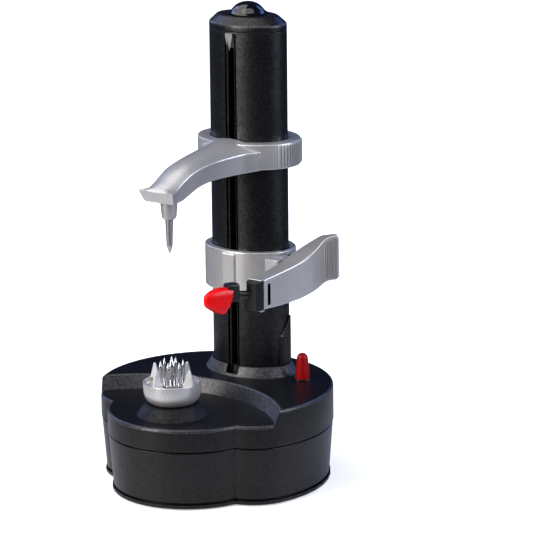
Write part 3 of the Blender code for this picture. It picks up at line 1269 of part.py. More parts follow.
def coil(name, centre, low, high, mean, wire, turns, material):
    """A round wire wound about a vertical axis, its ends a little apart from the next turn."""
    per_turn = 12
    count = int(per_turn * turns)
    curve = bpy.data.curves.new(name, "CURVE")
    curve.dimensions = "3D"
    curve.bevel_depth = wire / 2
    curve.bevel_resolution = 1
    curve.use_fill_caps = True
    spline = curve.splines.new("POLY")
    spline.points.add(count)
    rise = high - low - wire
    for i, point in enumerate(spline.points):
        turn = 2 * pi * i / per_turn
        point.co = (mean * cos(turn), mean * sin(turn), low + wire / 2 + rise * i / count, 1)
    wound = bpy.data.objects.new(name, curve)
    PARTS.objects.link(wound)
    wound.location = (*centre, 0)
    return mesh_from_curve(wound, material)


def make_lever_spring():
    low = BARREL_TOP + GAP
    mean = PIVOT_RADIUS + RUNNING_GAP + COIL_WIRE
    coil("lever_spring", PIVOT, low, low + COIL_HEIGHT, mean, COIL_WIRE, COIL_TURNS, STEEL)


def lever_ring(station):
    """One section of the lever: outer and inner edge, each with a top and a bottom."""
    outer_x, outer_y, inner_x, inner_y, top_share, foot_share = station
    top = LEVER_FOOT + LEVER_RISE * top_share
    foot = LEVER_FOOT + LEVER_RISE * foot_share
    outer = (PIVOT_X + LEVER_LENGTH * outer_x, PIVOT[1] + LEVER_LENGTH * outer_y)
    inner = (PIVOT_X + LEVER_LENGTH * inner_x, PIVOT[1] + LEVER_LENGTH * inner_y)
    return [(*outer, top), (*outer, foot), (*inner, foot), (*inner, top)]


def make_lever():
    lever = skin("blade_lever", [lever_ring(station) for station in LEVER_STATIONS], SILVER)
    soften(lever, EDGE_ROUND)
    join(lever, rod("lever_eye", (*PIVOT, EYE_FOOT), (*PIVOT, EYE_TOP), EYE_RADIUS, sides=ROUND_SIDES))
    pocket_low, pocket_high = BARREL_FOOT - GAP, BARREL_TOP + COIL_HEIGHT + 2 * GAP
    cut(lever, rod("barrel_pocket", (*PIVOT, pocket_low), (*PIVOT, pocket_high), EYE_RADIUS + GAP,
                   sides=ROUND_SIDES))
    cut(lever, rod("lever_pin_hole", (*PIVOT, EYE_FOOT - OVERRUN), (*PIVOT, EYE_TOP + OVERRUN),
                   PIVOT_RADIUS + PIN_FIT))
    half = TONGUE_WIDTH / 2 + GAP
    low, high = TONGUE_FOOT - GAP, TONGUE_FOOT + TONGUE_HEIGHT + GAP
    cut(lever, box("tongue_pocket", (BLOCK_X - half, BLOCK_REAR - OVERRUN, low),
                   (BLOCK_X + half, BLOCK_REAR + TONGUE_DEPTH + GAP, high)))
    window_y = BLOCK_REAR + WINDOW_SETBACK
    cut(lever, box("side_window", (BLOCK_X + half + WINDOW_WIDTH / 2, window_y, LEVER_FOOT + WINDOW_WIDTH),
                   (PIVOT_X + LEVER_LENGTH, window_y + WINDOW_WIDTH, LEVER_FOOT + WINDOW_TOP)))


def make_block():
    half = BLOCK_WIDTH / 2
    block = box("blade_block", (BLOCK_X - half, BLOCK_FRONT, LEVER_FOOT),
                (BLOCK_X + half, BLOCK_REAR - GAP, LEVER_FOOT + BLOCK_HEIGHT), BLACK)
    soften(block, EDGE_ROUND / 2)
    tongue_half = TONGUE_WIDTH / 2
    join(block, box("block_tongue", (BLOCK_X - tongue_half, BLOCK_REAR - BLOCK_DEPTH / 2, TONGUE_FOOT),
                    (BLOCK_X + tongue_half, BLOCK_REAR + TONGUE_DEPTH, TONGUE_FOOT + TONGUE_HEIGHT)))
    end = HEAD_ROOT + NECK_LINE * HEAD_BORE
    join(block, rod("neck", NECK_START, end, NECK_RADIUS))


def along_head(forward, side, rise):
    """A place on the blade head: along the neck's line, across it to the right, and up."""
    right = Vector((-NECK_LINE.y, NECK_LINE.x, 0)).normalized()
    ahead = Vector((NECK_LINE.x, NECK_LINE.y, 0)).normalized()
    spot = HEAD_ROOT + ahead * forward + right * side
    return (spot.x, spot.y, HEAD_ROOT.z + rise)


def head_ring(forward, side, half_width, low, high):
    return [along_head(forward, side - half_width, low), along_head(forward, side + half_width, low),
            along_head(forward, side + half_width, high), along_head(forward, side - half_width, high)]


def make_blade_head():
    """The black carrier that swivels on the neck, and the red guard in front of it."""
    half = HEAD_WIDTH / 2
    carrier = skin("blade_carrier", [head_ring(0, 0, half, -HEAD_DOWN, HEAD_UP),
                                     head_ring(HEAD_LENGTH, 0, half, -HEAD_DOWN, HEAD_UP)], BLACK)
    soften(carrier, EDGE_ROUND / 3)
    start = HEAD_ROOT - NECK_LINE * OVERRUN
    end = HEAD_ROOT + NECK_LINE * (HEAD_BORE + GAP)
    cut(carrier, rod("neck_bore", start, end, NECK_RADIUS + PIN_FIT))
    guard_start = HEAD_LENGTH + GAP
    guard = skin("blade_guard", [head_ring(guard_start + GUARD_LENGTH * along, GUARD_SIDE * side,
                                           GUARD_THICK / 2 * wide, -GUARD_DOWN * down, GUARD_UP * up)
                                 for along, side, wide, down, up in GUARD_STATIONS], RED)
    soften(guard, EDGE_ROUND)
    make_blade(guard, guard_start)


def guard_face(share):
    """How far to the side the guard's cutting face is, at a share of its length."""
    before = [station for station in GUARD_STATIONS if station[0] <= share][-1]
    after = [station for station in GUARD_STATIONS if station[0] > share][0]
    mix = (share - before[0]) / (after[0] - before[0])
    side, wide = (before[i] * (1 - mix) + after[i] * mix for i in (1, 2))
    return GUARD_SIDE * side - GUARD_THICK / 2 * wide


def make_blade(guard, guard_start):
    """The thin blade along the guard's cutting face, in a groove of its own."""
    low, high = -GUARD_DOWN * BLADE_SPAN_SHARE, GUARD_UP * BLADE_SPAN_SHARE
    near, far = BLADE_SHARES
    rings, groove = [], []
    for share, end in ((near, -GAP), (far, GAP)):
        forward, face = guard_start + GUARD_LENGTH * share, guard_face(share)
        rings.append(head_ring(forward, face, BLADE_THICK / 2, low, high))
        groove.append(head_ring(forward + end, face, BLADE_THICK / 2 + GAP, low - GAP, high + GAP))
    cut(guard, skin("blade_groove", groove))
    skin("blade", rings, STEEL)


def make_button():
    top = UPPER_DECK + BUTTON_HEIGHT
    turns = [pi / 2 * i / 4 for i in range(5)]
    crown = [(BUTTON_TOP_RADIUS * sin(turn), top - BUTTON_CROWN * (1 - cos(turn))) for turn in turns]
    stem_foot = SWITCH_TOP + BUTTON_TRAVEL + GAP
    flange = BUTTON_RADIUS + BUTTON_FLANGE
    turned("start_button", crown + [(BUTTON_RADIUS, UPPER_DECK), (BUTTON_RADIUS, BUTTON_FLANGE_TOP),
                                    (flange, BUTTON_FLANGE_TOP), (flange, BUTTON_FLANGE_FOOT),
                                    (BUTTON_STEM_RADIUS, BUTTON_FLANGE_FOOT),
                                    (BUTTON_STEM_RADIUS, stem_foot), (0, stem_foot)], BUTTON, RED)


def make_bezel():
    """The ring that lines the button's hole and keeps its flange in."""
    outer = BUTTON_RADIUS + BEZEL_WALL + RUNNING_GAP
    ring("button_bezel", BUTTON_RADIUS + RUNNING_GAP, outer, UPPER_DECK - BASE_WALL - BEZEL_LIP,
         UPPER_DECK + BEZEL_PROUD, BUTTON, BLACK)


def make_button_spring():
    mean = BUTTON_STEM_RADIUS + RUNNING_GAP + SPRING_WIRE
    coil("button_spring", BUTTON, SWITCH_TOP + GAP, BUTTON_FLANGE_FOOT - GAP, mean, SPRING_WIRE,
         SPRING_TURNS, STEEL)


def make_switch():
    wide, deep, _ = (size / 2 for size in SWITCH_SIZE)
    box("micro_switch", (BUTTON[0] - wide, BUTTON[1] - deep, SWITCH_FOOT),
        (BUTTON[0] + wide, BUTTON[1] + deep, SWITCH_TOP), BLACK)


def hang(axis_name, place_at, names):
    """Parents pieces to an empty on the axis that they move about or along."""
    axis = bpy.data.objects.new(axis_name, None)
    PARTS.objects.link(axis)
    axis.location = place_at
    bpy.context.view_layer.update()
    for name in names:
        piece = bpy.data.objects[name]
        matrix = piece.matrix_world.copy()
        piece.parent = axis
        piece.matrix_parent_inverse = axis.matrix_world.inverted()
        piece.matrix_world = matrix


def make_base():
    make_base_plate()
    make_feet()
    make_battery_door()
    make_battery_box()
    make_cells()
    make_contacts()
    make_base_tray()
    make_jack()
    make_cover()


def make_drive():
    make_chassis()
    make_motor()
    make_gears()
    make_axles()
    make_lower_bearings()
    make_spindle()
    make_upper_bush()
    make_lead_screw()
    make_switch()
    make_button()
    make_bezel()
    make_button_spring()


def make_tower():
    make_column()
    make_cap()
    make_top_bush()
    make_dome()
    make_cup()
    make_prongs()
    make_arm()
    make_brake()
    make_holder()
    make_top_pin()


def make_peeling_head():
    make_carriage()
    make_half_nut()
    make_pivot_pin()
    make_lever_spring()
    make_lever()
    make_block()
    make_blade_head()


def hang_moving_pieces():
    hang("spindle_axis", (0, SPINDLE_Y, 0), ["spindle_shaft", "spindle_gear", "food_cup", "prong_plate"])
    hang("screw_axis", (0, TOWER_Y, 0), ["lead_screw", "screw_gear"])
    hang("idler_axis", (*IDLER, 0), ["idler_gear"])
    hang("second_gear_axis", (*SECOND_GEAR, 0), ["second_reduction_gear"])
    hang("first_gear_axis", (*FIRST_GEAR, 0), ["first_reduction_gear"])
    hang("motor_axis", (*MOTOR, 0), ["motor_pinion"])
    hang("arm_slide", (0, TOWER_Y, ARM_RING_FOOT), ["top_arm", "brake_shoe", "brake_spring", "pin_holder"])
    hang("carriage_slide", (0, TOWER_Y, CARRIAGE_FOOT), ["carriage_ring", "half_nut", "pivot_pin",
                                                        "lever_spring"])
    hang("lever_pivot", (*PIVOT, CARRIAGE_FOOT), ["blade_lever", "blade_block"])
    hang("neck_axis", tuple(HEAD_ROOT), ["blade_carrier", "blade_guard", "blade"])


make_base()
make_drive()
make_tower()
make_peeling_head()
hang_moving_pieces()
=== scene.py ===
import json
from math import atan2, cos, hypot, pi, radians, sin, sqrt

import bmesh
import bpy
from mathutils import Matrix, Vector


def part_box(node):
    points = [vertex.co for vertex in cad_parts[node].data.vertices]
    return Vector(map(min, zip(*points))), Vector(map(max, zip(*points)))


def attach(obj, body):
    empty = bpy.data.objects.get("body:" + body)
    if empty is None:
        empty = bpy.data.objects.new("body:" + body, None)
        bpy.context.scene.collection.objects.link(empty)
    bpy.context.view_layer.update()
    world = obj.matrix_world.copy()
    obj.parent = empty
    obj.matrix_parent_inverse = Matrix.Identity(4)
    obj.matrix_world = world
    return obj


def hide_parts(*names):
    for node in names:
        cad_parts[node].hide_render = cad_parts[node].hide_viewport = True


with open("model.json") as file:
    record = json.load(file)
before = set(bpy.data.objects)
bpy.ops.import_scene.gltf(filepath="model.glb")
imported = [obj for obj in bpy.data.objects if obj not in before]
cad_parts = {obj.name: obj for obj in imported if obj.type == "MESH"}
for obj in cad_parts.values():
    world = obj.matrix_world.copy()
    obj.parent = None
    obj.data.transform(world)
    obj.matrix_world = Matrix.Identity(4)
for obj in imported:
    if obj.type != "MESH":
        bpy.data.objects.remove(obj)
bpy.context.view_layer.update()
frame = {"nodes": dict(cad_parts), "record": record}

mm = 0.001
towerAt, spindleAt, rearAt = 40.35, -41.65, 2.15    # along Y, in millimetres
towerOval = {"wide": 25.8, "deep": 18.6}            # half its width and half its depth
towerFront = towerAt - towerOval["deep"]
buttonAt = (40.0, 38.05)
cupAxis = (0, spindleAt)
print("frame loaded,", len(frame["nodes"]), "nodes")


def hexColour(code):
    # sRGB hex to the linear values that the shaders want
    channels = [int(code[i:i + 2], 16) / 255 for i in (0, 2, 4)]
    return (*(c / 12.92 if c <= 0.04045 else ((c + 0.055) / 1.055) ** 2.4 for c in channels), 1.0)


def addNode(tree, kind, settings=None, links=None):
    node = tree.nodes.new("ShaderNode" + kind)
    for key, value in (settings or {}).items():
        if isinstance(key, int) or key in node.inputs:
            node.inputs[key].default_value = value
        else:
            setattr(node, key, value)
    for key, source in (links or {}).items():
        tree.links.new(source, node.inputs[key])
    return node


def newMaterial(name, preview, settings=None):
    # settings are what the shader has the same all over
    material = bpy.data.materials.new(name)
    material.use_nodes = True
    material.diffuse_color = hexColour(preview)
    tree = material.node_tree
    tree.nodes.clear()
    shader = addNode(tree, "BsdfPrincipled", settings)
    addNode(tree, "OutputMaterial", links={"Surface": shader.outputs["BSDF"]})
    place = addNode(tree, "TexCoord").outputs["Object"]
    return material, tree, shader, place


def blendColours(tree, factor, first, second):
    ramp = addNode(tree, "ValToRGB", links={"Fac": factor})
    ramp.color_ramp.elements[0].color = hexColour(first)
    ramp.color_ramp.elements[1].color = hexColour(second)
    return ramp.outputs["Color"]


# patterns are sized in real millimetres, and object coordinates are metres
def noise(tree, place, sizeMm, detail, roughness=0.5):
    settings = {"Scale": 1 / (sizeMm * mm), "Detail": detail, "Roughness": roughness}
    return addNode(tree, "TexNoise", settings, {"Vector": place}).outputs["Fac"]


def randomCells(tree, place, sizeMm):
    # random values for each cell, one each in red, green and blue
    cells = addNode(tree, "TexVoronoi", {"Scale": 1 / (sizeMm * mm)}, {"Vector": place})
    return addNode(tree, "SeparateColor", links={"Color": cells.outputs["Color"]}).outputs


def mapRange(tree, value, span, result=(0.0, 1.0)):
    settings = {"From Min": span[0], "From Max": span[1], "To Min": result[0], "To Max": result[1]}
    return addNode(tree, "MapRange", settings, {"Value": value}).outputs["Result"]


def multiplyAdd(tree, value, factor, extra):
    settings = {"operation": "MULTIPLY_ADD", 1: factor}
    return addNode(tree, "Math", settings, {0: value, 2: extra}).outputs["Value"]


def wireSurface(tree, shader, colour, roughness, height, strength, depthMm):
    # colour, roughness and relief, each from its own pattern
    bump = addNode(tree, "Bump", {"Strength": strength, "Distance": depthMm * mm}, {"Height": height})
    tree.links.new(colour, shader.inputs["Base Color"])
    tree.links.new(roughness, shader.inputs["Roughness"])
    tree.links.new(bump.outputs["Normal"], shader.inputs["Normal"])


# Black ABS, moulded against a spark-eroded tool: the grain breaks each highlight into specks.
# Dark and light tone, grain and relief in mm, roughness from and to, gloss and how much it varies
texturedAbs = {
    "fineGrainAbs": ("040506", "17181b", 0.85, 0.100, (0.29, 0.41), 0.38, 0.4),
    "satinGrainAbs": ("040506", "101113", 0.75, 0.060, (0.31, 0.43), 0.25, 0.2),
    "coarseGrainAbs": ("060708", "4a4b51", 0.80, 0.140, (0.38, 0.56), 0.62, 0.5),
    # the cone's duller grain is real; its darker tone is painted shade from the cup and the food above it
    "dullGrainPaintedShadeAbs": ("060708", "26272b", 0.80, 0.120, (0.46, 0.62), 0.17, 0.5),
    # the worn edge: smoother from handling, and its lighter tones are a painted highlight
    "wornEdgePaintedHighlightAbs": ("1a1b1e", "4c4d53", 0.9, 0.030, (0.26, 0.40), 0.4, 0.3),
    "paleGrainAbs": ("77787c", "a4a5a9", 0.6, 0.020, (0.40, 0.55), 0.34, 0.2),
    "smoothAbs": ("060607", "0d0e10", 1.6, 0.006, (0.22, 0.32), 0.34, 0.1),
}
absPattern = {"specks": (0.42, 0.74), "handledMm": 24, "handled": 0.55, "worn": (0.45, 1.1), "relief": 0.8}
mottleSpan = (0.3, 0.7)    # where a noise does most of its change


def blackAbs(name):
    # the real grain is about 0.1 mm, drawn coarser to show
    dark, light, grainMm, depthMm, rough, gloss, speckle = texturedAbs[name]
    material, tree, shader, place = newMaterial(name, light, {"IOR": 1.53})
    grain = noise(tree, place, grainMm, 3.0, 0.62)
    facets = randomCells(tree, place, grainMm)["Red"]
    glint = mapRange(tree, facets, (0.0, 1.0), (gloss * (1 - speckle), gloss * (1 + speckle)))
    tree.links.new(glint, shader.inputs["Specular IOR Level"])
    colour = blendColours(tree, mapRange(tree, grain, absPattern["specks"]), dark, light)
    worn = multiplyAdd(tree, noise(tree, place, absPattern["handledMm"], 2.0), absPattern["handled"], grain)
    rough = mapRange(tree, worn, absPattern["worn"], rough)
    wireSurface(tree, shader, colour, rough, grain, absPattern["relief"], depthMm)
    return material


# ABS under silver lacquer: fine aluminium flakes that glint, in a clear binder with a soft sheen
lacquerLooks = {"silverLacqueredAbs": ("b6b6b8", "cccccc", (0.28, 0.38)),
                "paleLacqueredAbs": ("cfd0d2", "efefee", (0.30, 0.42))}
lacquer = {"flakeMm": 0.35, "peelMm": 3.0, "hazeMm": 20, "flakeRelief": 0.04, "relief": 0.4, "depthMm": 0.010}


def silverLacquer(name):
    dark, light, rough = lacquerLooks[name]
    sheen = {"Metallic": 0.64, "Coat Weight": 0.12, "Coat Roughness": 0.22}
    material, tree, shader, place = newMaterial(name, light, sheen)
    flakes = randomCells(tree, place, lacquer["flakeMm"])
    colour = blendColours(tree, flakes["Red"], dark, light)
    rough = mapRange(tree, noise(tree, place, lacquer["hazeMm"], 3.0, 0.6), mottleSpan, rough)
    orangePeel = noise(tree, place, lacquer["peelMm"], 1.0)
    height = multiplyAdd(tree, flakes["Green"], lacquer["flakeRelief"], orangePeel)
    wireSurface(tree, shader, colour, rough, height, lacquer["relief"], lacquer["depthMm"])
    return material


# Plain plastics, rubber and sleeves: an even colour with a faint mottle, from mirror polish to dull.
# Dark and light tone, mottle and relief in mm, roughness from and to, gloss
plasticLooks = {
    "polishedAbs": ("050506", "0a0a0c", 9.0, 0.004, (0.07, 0.13), 0.8),
    "redAbs": ("d4040a", "f2080f", 5.0, 0.010, (0.24, 0.34), 0.28),
    "deepRedAbs": ("7e0207", "9e040a", 3.0, 0.012, (0.36, 0.48), 0.18),
    "blackNylon": ("0a0a0b", "131315", 1.5, 0.012, (0.34, 0.46), 0.4),
    "naturalNylon": ("c9c3b0", "ddd8c8", 2.0, 0.010, (0.40, 0.52), 0.45),
    "mouldedRubber": ("0d0d0d", "191919", 0.8, 0.030, (0.70, 0.85), 0.4),
    "cellSleeve": ("1e3d58", "28506f", 6.0, 0.004, (0.22, 0.30), 0.5),
}


def plainPlastic(name):
    dark, light, grainMm, depthMm, rough, gloss = plasticLooks[name]
    material, tree, shader, place = newMaterial(name, light, {"IOR": 1.50, "Specular IOR Level": gloss})
    mottle = noise(tree, place, grainMm, 4.0, 0.6)
    rough = mapRange(tree, mottle, mottleSpan, rough)
    wireSurface(tree, shader, blendColours(tree, mottle, dark, light), rough, mottle, 0.6, depthMm)
    return material


# Metals, turned or drawn: the tool's fine lines draw the highlight out round the piece.
# Dark and light tone, width of the lines in mm, roughness from and to
metalLooks = {
    "stainlessSteel": ("b4b4b5", "d2d2d2", 0.5, (0.15, 0.24)),
    "satinSteel": ("a9a9aa", "cdcdcd", 0.4, (0.30, 0.42)),
    "turnedBrass": ("a98a4a", "cfb36b", 0.6, (0.18, 0.30)),
}
lineStretch = (0.12, 0.12, 1.0)    # long round the piece and short along Z


def barMetal(name):
    dark, light, lineMm, rough = metalLooks[name]
    material, tree, shader, place = newMaterial(name, light, {"Metallic": 1.0})
    stretched = addNode(tree, "Mapping", {"Scale": lineStretch}, {"Vector": place})
    lines = noise(tree, stretched.outputs["Vector"], lineMm, 4.0, 0.7)
    rough = mapRange(tree, lines, mottleSpan, rough)
    wireSurface(tree, shader, blendColours(tree, lines, dark, light), rough, lines, 0.25, 0.004)
    return material


fineBlack = blackAbs("fineGrainAbs")
satinBlack = blackAbs("satinGrainAbs")
coarseBlack = blackAbs("coarseGrainAbs")
dullShadedBlack = blackAbs("dullGrainPaintedShadeAbs")
wornEdgeHighlightBlack = blackAbs("wornEdgePaintedHighlightAbs")
smoothBlack = blackAbs("smoothAbs")
silver = silverLacquer("silverLacqueredAbs")
glossBlack = plainPlastic("polishedAbs")
brightRed = plainPlastic("redAbs")
deepRed = plainPlastic("deepRedAbs")
nylon = plainPlastic("naturalNylon")
rubber = plainPlastic("mouldedRubber")
cellSleeve = plainPlastic("cellSleeve")
steel = barMetal("stainlessSteel")
brass = barMetal("turnedBrass")
paleGrain = blackAbs("paleGrainAbs")
satinNylon = plainPlastic("blackNylon")
paleLacquer = silverLacquer("paleLacqueredAbs")
satinSteel = barMetal("satinSteel")
print("materials made")

# the record's material slots; the first finish of each dresses the nodes that no new piece replaces
finishesOf = {
    "textured_black_plastic": (satinBlack, fineBlack, coarseBlack, dullShadedBlack, wornEdgeHighlightBlack, smoothBlack,
                               paleGrain, satinNylon),
    "gloss_black_plastic": (glossBlack,), "silver_painted_plastic": (silver, paleLacquer),
    "stainless_steel": (steel, satinSteel), "brass": (brass,), "red_plastic": (brightRed, deepRed),
    "rubber": (rubber,), "natural_nylon": (nylon,), "cell_wrap": (cellSleeve,),
}


def dressNodes():
    # every node gets the finish that the record names for it
    slots = {part["node"]: part["material_slot"] for part in frame["record"]["subparts"]}
    for name, node in frame["nodes"].items():
        node.data.materials.clear()
        node.data.materials.append(finishesOf[slots[name]][0])


dressNodes()
print("frame dressed")


def addObject(name, data):
    made = bpy.data.objects.new(name, data)
    bpy.context.scene.collection.objects.link(made)
    return made


# Shapes are laid out in millimetres and turned to metres when a piece is made
def makePiece(name, points, faces, finish, body, nodes=(), angle=34):
    mesh = bpy.data.meshes.new(name)
    mesh.from_pydata([tuple(value * mm for value in point) for point in points], [], faces)
    shape = bmesh.new()
    shape.from_mesh(mesh)
    bmesh.ops.remove_doubles(shape, verts=shape.verts, dist=0.002 * mm)
    bmesh.ops.recalc_face_normals(shape, faces=shape.faces)
    shape.to_mesh(mesh)
    shape.free()
    mesh.materials.append(finish)
    mesh.shade_smooth()
    mesh.set_sharp_from_angle(angle=radians(angle))
    piece = addObject(name, mesh)
    if body:
        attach(piece, body)
    if nodes:
        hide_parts(*nodes)
    return piece


def skinFaces(count, sides, loop=False):
    # quads between rings of the same number of points, and a cap on each end of an open skin
    faces = []
    for i in range(count if loop else count - 1):
        a, b = i * sides, (i + 1) % count * sides
        faces += [(a + j, a + (j + 1) % sides, b + (j + 1) % sides, b + j) for j in range(sides)]
    if not loop:
        faces += [tuple(range(sides))[::-1], tuple((count - 1) * sides + j for j in range(sides))]
    return faces


def loft(name, rings, finish, body=None, nodes=(), loop=False, angle=34):
    points = [point for ring in rings for point in ring]
    return makePiece(name, points, skinFaces(len(rings), len(rings[0]), loop), finish, body, nodes, angle)


def softCorners(corners, closed=False, steps=5):
    # each corner is (across, height, radius); the radius rounds it
    path = []
    for i, (x, y, radius) in enumerate(corners):
        if radius <= 0 or (not closed and i in (0, len(corners) - 1)):
            path.append((x, y))
            continue
        before, after = corners[i - 1], corners[(i + 1) % len(corners)]
        here = Vector((x, y))
        toBefore, toAfter = Vector(before[:2]) - here, Vector(after[:2]) - here
        reach = min(radius, toBefore.length * 0.49, toAfter.length * 0.49)
        start, end = here + toBefore.normalized() * reach, here + toAfter.normalized() * reach
        for k in range(steps + 1):
            t = k / steps
            spot = start * (1 - t) ** 2 + here * 2 * t * (1 - t) + end * t ** 2
            path.append((spot.x, spot.y))
    return path


def bearings(sides):
    return [2 * pi * k / sides for k in range(sides)]


def turn(name, corners, centre, finish, body=None, nodes=(), sides=96, steps=5, closed=False):
    # a lathe-turned shape about an upright axis
    rings = [[(centre[0] + radius * sin(t), centre[1] - radius * cos(t), height) for t in bearings(sides)]
             for radius, height in softCorners(corners, closed, steps)]
    return loft(name, rings, finish, body, nodes, closed)


def boreAt(name, radius, low, high, centre, finish=smoothBlack, sides=96):
    profile = [(0, low, 0), (radius, low, 0), (radius, high, 0), (0, high, 0)]
    return turn(name, profile, centre, finish, sides=sides)


def wearEdgeWithHighlight(piece, low, high):
    # the rounded edge between these heights has lost its grain to hands and cloths, and its lighter colour is a
    # painted highlight along the edge
    piece.data.materials.append(wornEdgeHighlightBlack)
    for polygon in piece.data.polygons:
        if low * mm < polygon.center.z < high * mm and abs(polygon.normal.z) < 0.985:
            polygon.material_index = len(piece.data.materials) - 1


def blockAt(name, low, high, finish=smoothBlack, body=None, nodes=(), soft=0.0, segments=3):
    (x0, y0, z0), (x1, y1, z1) = low, high
    rings = [[(x0, y0, z), (x1, y0, z), (x1, y1, z), (x0, y1, z)] for z in (z0, z1)]
    piece = loft(name, rings, finish, body, nodes)
    if soft:
        roundEdges(piece, soft, segments)
    return piece


def roundEdges(piece, width, segments=3):
    bevel = piece.modifiers.new("round edges", "BEVEL")
    bevel.width = width * mm
    bevel.segments = segments
    bevel.limit_method = "ANGLE"
    bevel.angle_limit = radians(32)
    bevel.miter_outer = "MITER_ARC"
    evenShading(piece)


def evenShading(piece):
    # large faces keep their flat shading where small ones turn into them
    piece.modifiers.new("even shading", "WEIGHTED_NORMAL").keep_sharp = True


def settle(piece):
    # works the modifiers into the mesh; the shading is weighted again at the end
    for modifier in [m for m in piece.modifiers if m.type == "WEIGHTED_NORMAL"]:
        piece.modifiers.remove(modifier)
    bpy.context.view_layer.update()
    graph = bpy.context.evaluated_depsgraph_get()
    shown = piece.evaluated_get(graph)
    mesh = bpy.data.meshes.new_from_object(shown, preserve_all_data_layers=True, depsgraph=graph)
    piece.modifiers.clear()
    piece.data = mesh


def carve(piece, *tools, how="DIFFERENCE", angle=34):
    for tool in tools:
        cut = piece.modifiers.new("carve", "BOOLEAN")
        cut.operation, cut.solver, cut.object = how, "EXACT", tool
        cut.material_mode = "TRANSFER"
        settle(piece)
        bpy.data.objects.remove(tool)
    piece.data.shade_smooth()
    piece.data.set_sharp_from_angle(angle=radians(angle))


def ovalRing(growX, height, growY=None):
    # the tower's oval, larger by this much
    wide, deep = towerOval["wide"] + growX, towerOval["deep"] + (growX if growY is None else growY)
    return [(wide * sin(t), towerAt - deep * cos(t), height) for t in bearings(144)]


def ovalSweep(name, corners, finish, body, nodes=(), steps=5):
    rings = [ovalRing(grow, height) for grow, height in softCorners(corners, True, steps)]
    return loft(name, rings, finish, body, nodes, True)


def ovalBore(name, grow, low, high, finish=smoothBlack):
    return loft(name, [ovalRing(grow, low), ovalRing(grow, high)], finish)


def silverBand(name, look, body, node):
    # a ring round the tower, with a little play
    low, high, wall = look["foot"], look["top"], look["wall"]
    return ovalSweep(name, [(0.35, low, 0.4), (wall, low, 1.0), (wall, high, 1.0), (0.35, high, 0.5)], silver,
                     body, [node])


def smoothPath(stations, count):
    # a smooth curve through stations whose first value runs from 0 to 1
    path = []
    for k in range(count + 1):
        t = k / count
        i = min(len(stations) - 2, sum(1 for s in stations if s[0] <= t) - 1)
        p0, p1, p2, p3 = (stations[max(0, min(len(stations) - 1, i + d))] for d in (-1, 0, 1, 2))
        span = p2[0] - p1[0]
        u = (t - p1[0]) / span
        values = [t]
        for v in range(1, len(p1)):
            m1 = (p2[v] - p0[v]) / (p2[0] - p0[0]) * span
            m2 = (p3[v] - p1[v]) / (p3[0] - p1[0]) * span
            values.append((2 * u ** 3 - 3 * u ** 2 + 1) * p1[v] + (u ** 3 - 2 * u ** 2 + u) * m1
                          + (3 * u ** 2 - 2 * u ** 3) * p2[v] + (u ** 3 - u ** 2) * m2)
        path.append(values)
    return path


# Base: a tray and a cover that share one outline, a big rear circle and a smaller front lobe
baseLook = {"rearRadius": 72.3, "lobeRadius": 49.7, "lobeSetback": 26.9, "shoulderRadius": 31.0,
            "shoulderAngle": 70, "trayFoot": 4.2, "trayTop": 36.4, "coverFoot": 37.1, "lowerDeck": 51.0,
            "upperDeck": 59.7, "draft": 2.4, "topRound": 2.1, "footRound": 0.6, "wall": 2.4, "inletRadius": 4.9,
            "inletHeight": 20}
stepLook = {"ahead": 122.0, "radius": 85.0, "lean": 3.4}


def arcPoints(centre, radius, start, end, count):
    turns = [start + (end - start) * k / (count - 1) for k in range(count)]
    return [(centre[0] + radius * sin(t), centre[1] - radius * cos(t)) for t in turns]


def baseOutline(inset):
    rear, lobe = (0, rearAt), (0, rearAt - baseLook["lobeSetback"])
    reach = baseLook["rearRadius"] - baseLook["shoulderRadius"]
    swing = radians(baseLook["shoulderAngle"])
    shoulder = (reach * sin(swing), rearAt - reach * cos(swing))
    bigRadius, smallRadius = baseLook["lobeRadius"] - inset, baseLook["shoulderRadius"] - inset
    # the notch lies where the shoulder's circle crosses the lobe's
    dx, dy = lobe[0] - shoulder[0], lobe[1] - shoulder[1]
    apart = hypot(dx, dy)
    along = (smallRadius ** 2 - bigRadius ** 2 + apart ** 2) / (2 * apart)
    across = sqrt(smallRadius ** 2 - along ** 2)
    crossings = [(shoulder[0] + (along * dx + s * across * dy) / apart,
                  shoulder[1] + (along * dy - s * across * dx) / apart) for s in (-1, 1)]
    notch = min(crossings, key=lambda spot: spot[1])
    fromLobe = atan2(notch[0] - lobe[0], lobe[1] - notch[1])
    fromShoulder = atan2(notch[0] - shoulder[0], shoulder[1] - notch[1])
    half = arcPoints(lobe, bigRadius, 0, fromLobe, 40)
    half += arcPoints(shoulder, smallRadius, fromShoulder, swing, 24)[1:]
    half += arcPoints(rear, baseLook["rearRadius"] - inset, swing, pi, 64)[1:]
    return half + [(-x, y) for x, y in reversed(half[1:-1])]


def baseSweep(name, corners, finish, body=None, nodes=(), closed=False):
    path = softCorners(corners, closed)
    rings = [[(x, y, height) for x, y in baseOutline(inset)] for inset, height in path]
    return loft(name, rings, finish, body, nodes, closed)


def makeTray():
    look = baseLook
    foot, wall = look["draft"] + 0.4, look["wall"]
    low, top = look["trayFoot"], look["trayTop"]
    # outside from the foot up, then the tongue that reaches into the cover
    outside = [(foot + wall, low, 0.3), (foot, low, 0.9), (0.4, top, 0.7), (wall + 0.3, top, 0.3)]
    tongue = [(wall + 0.3, top + 3, 0.2), (wall + 1.9, top + 3, 0.2), (wall + 1.9, top - 3, 0.3)]
    tray = baseSweep("baseTray", outside + tongue, satinBlack, "base", ["base_tray"], closed=True)
    hole = boreAt("inletHole", look["inletRadius"], -20, 4, (0, 0), sides=48)
    back = Matrix.Translation((0, (rearAt + look["rearRadius"]) * mm, look["inletHeight"] * mm))
    hole.data.transform(back @ Matrix.Rotation(-pi / 2, 4, "X"))
    carve(tray, hole)
    evenShading(tray)


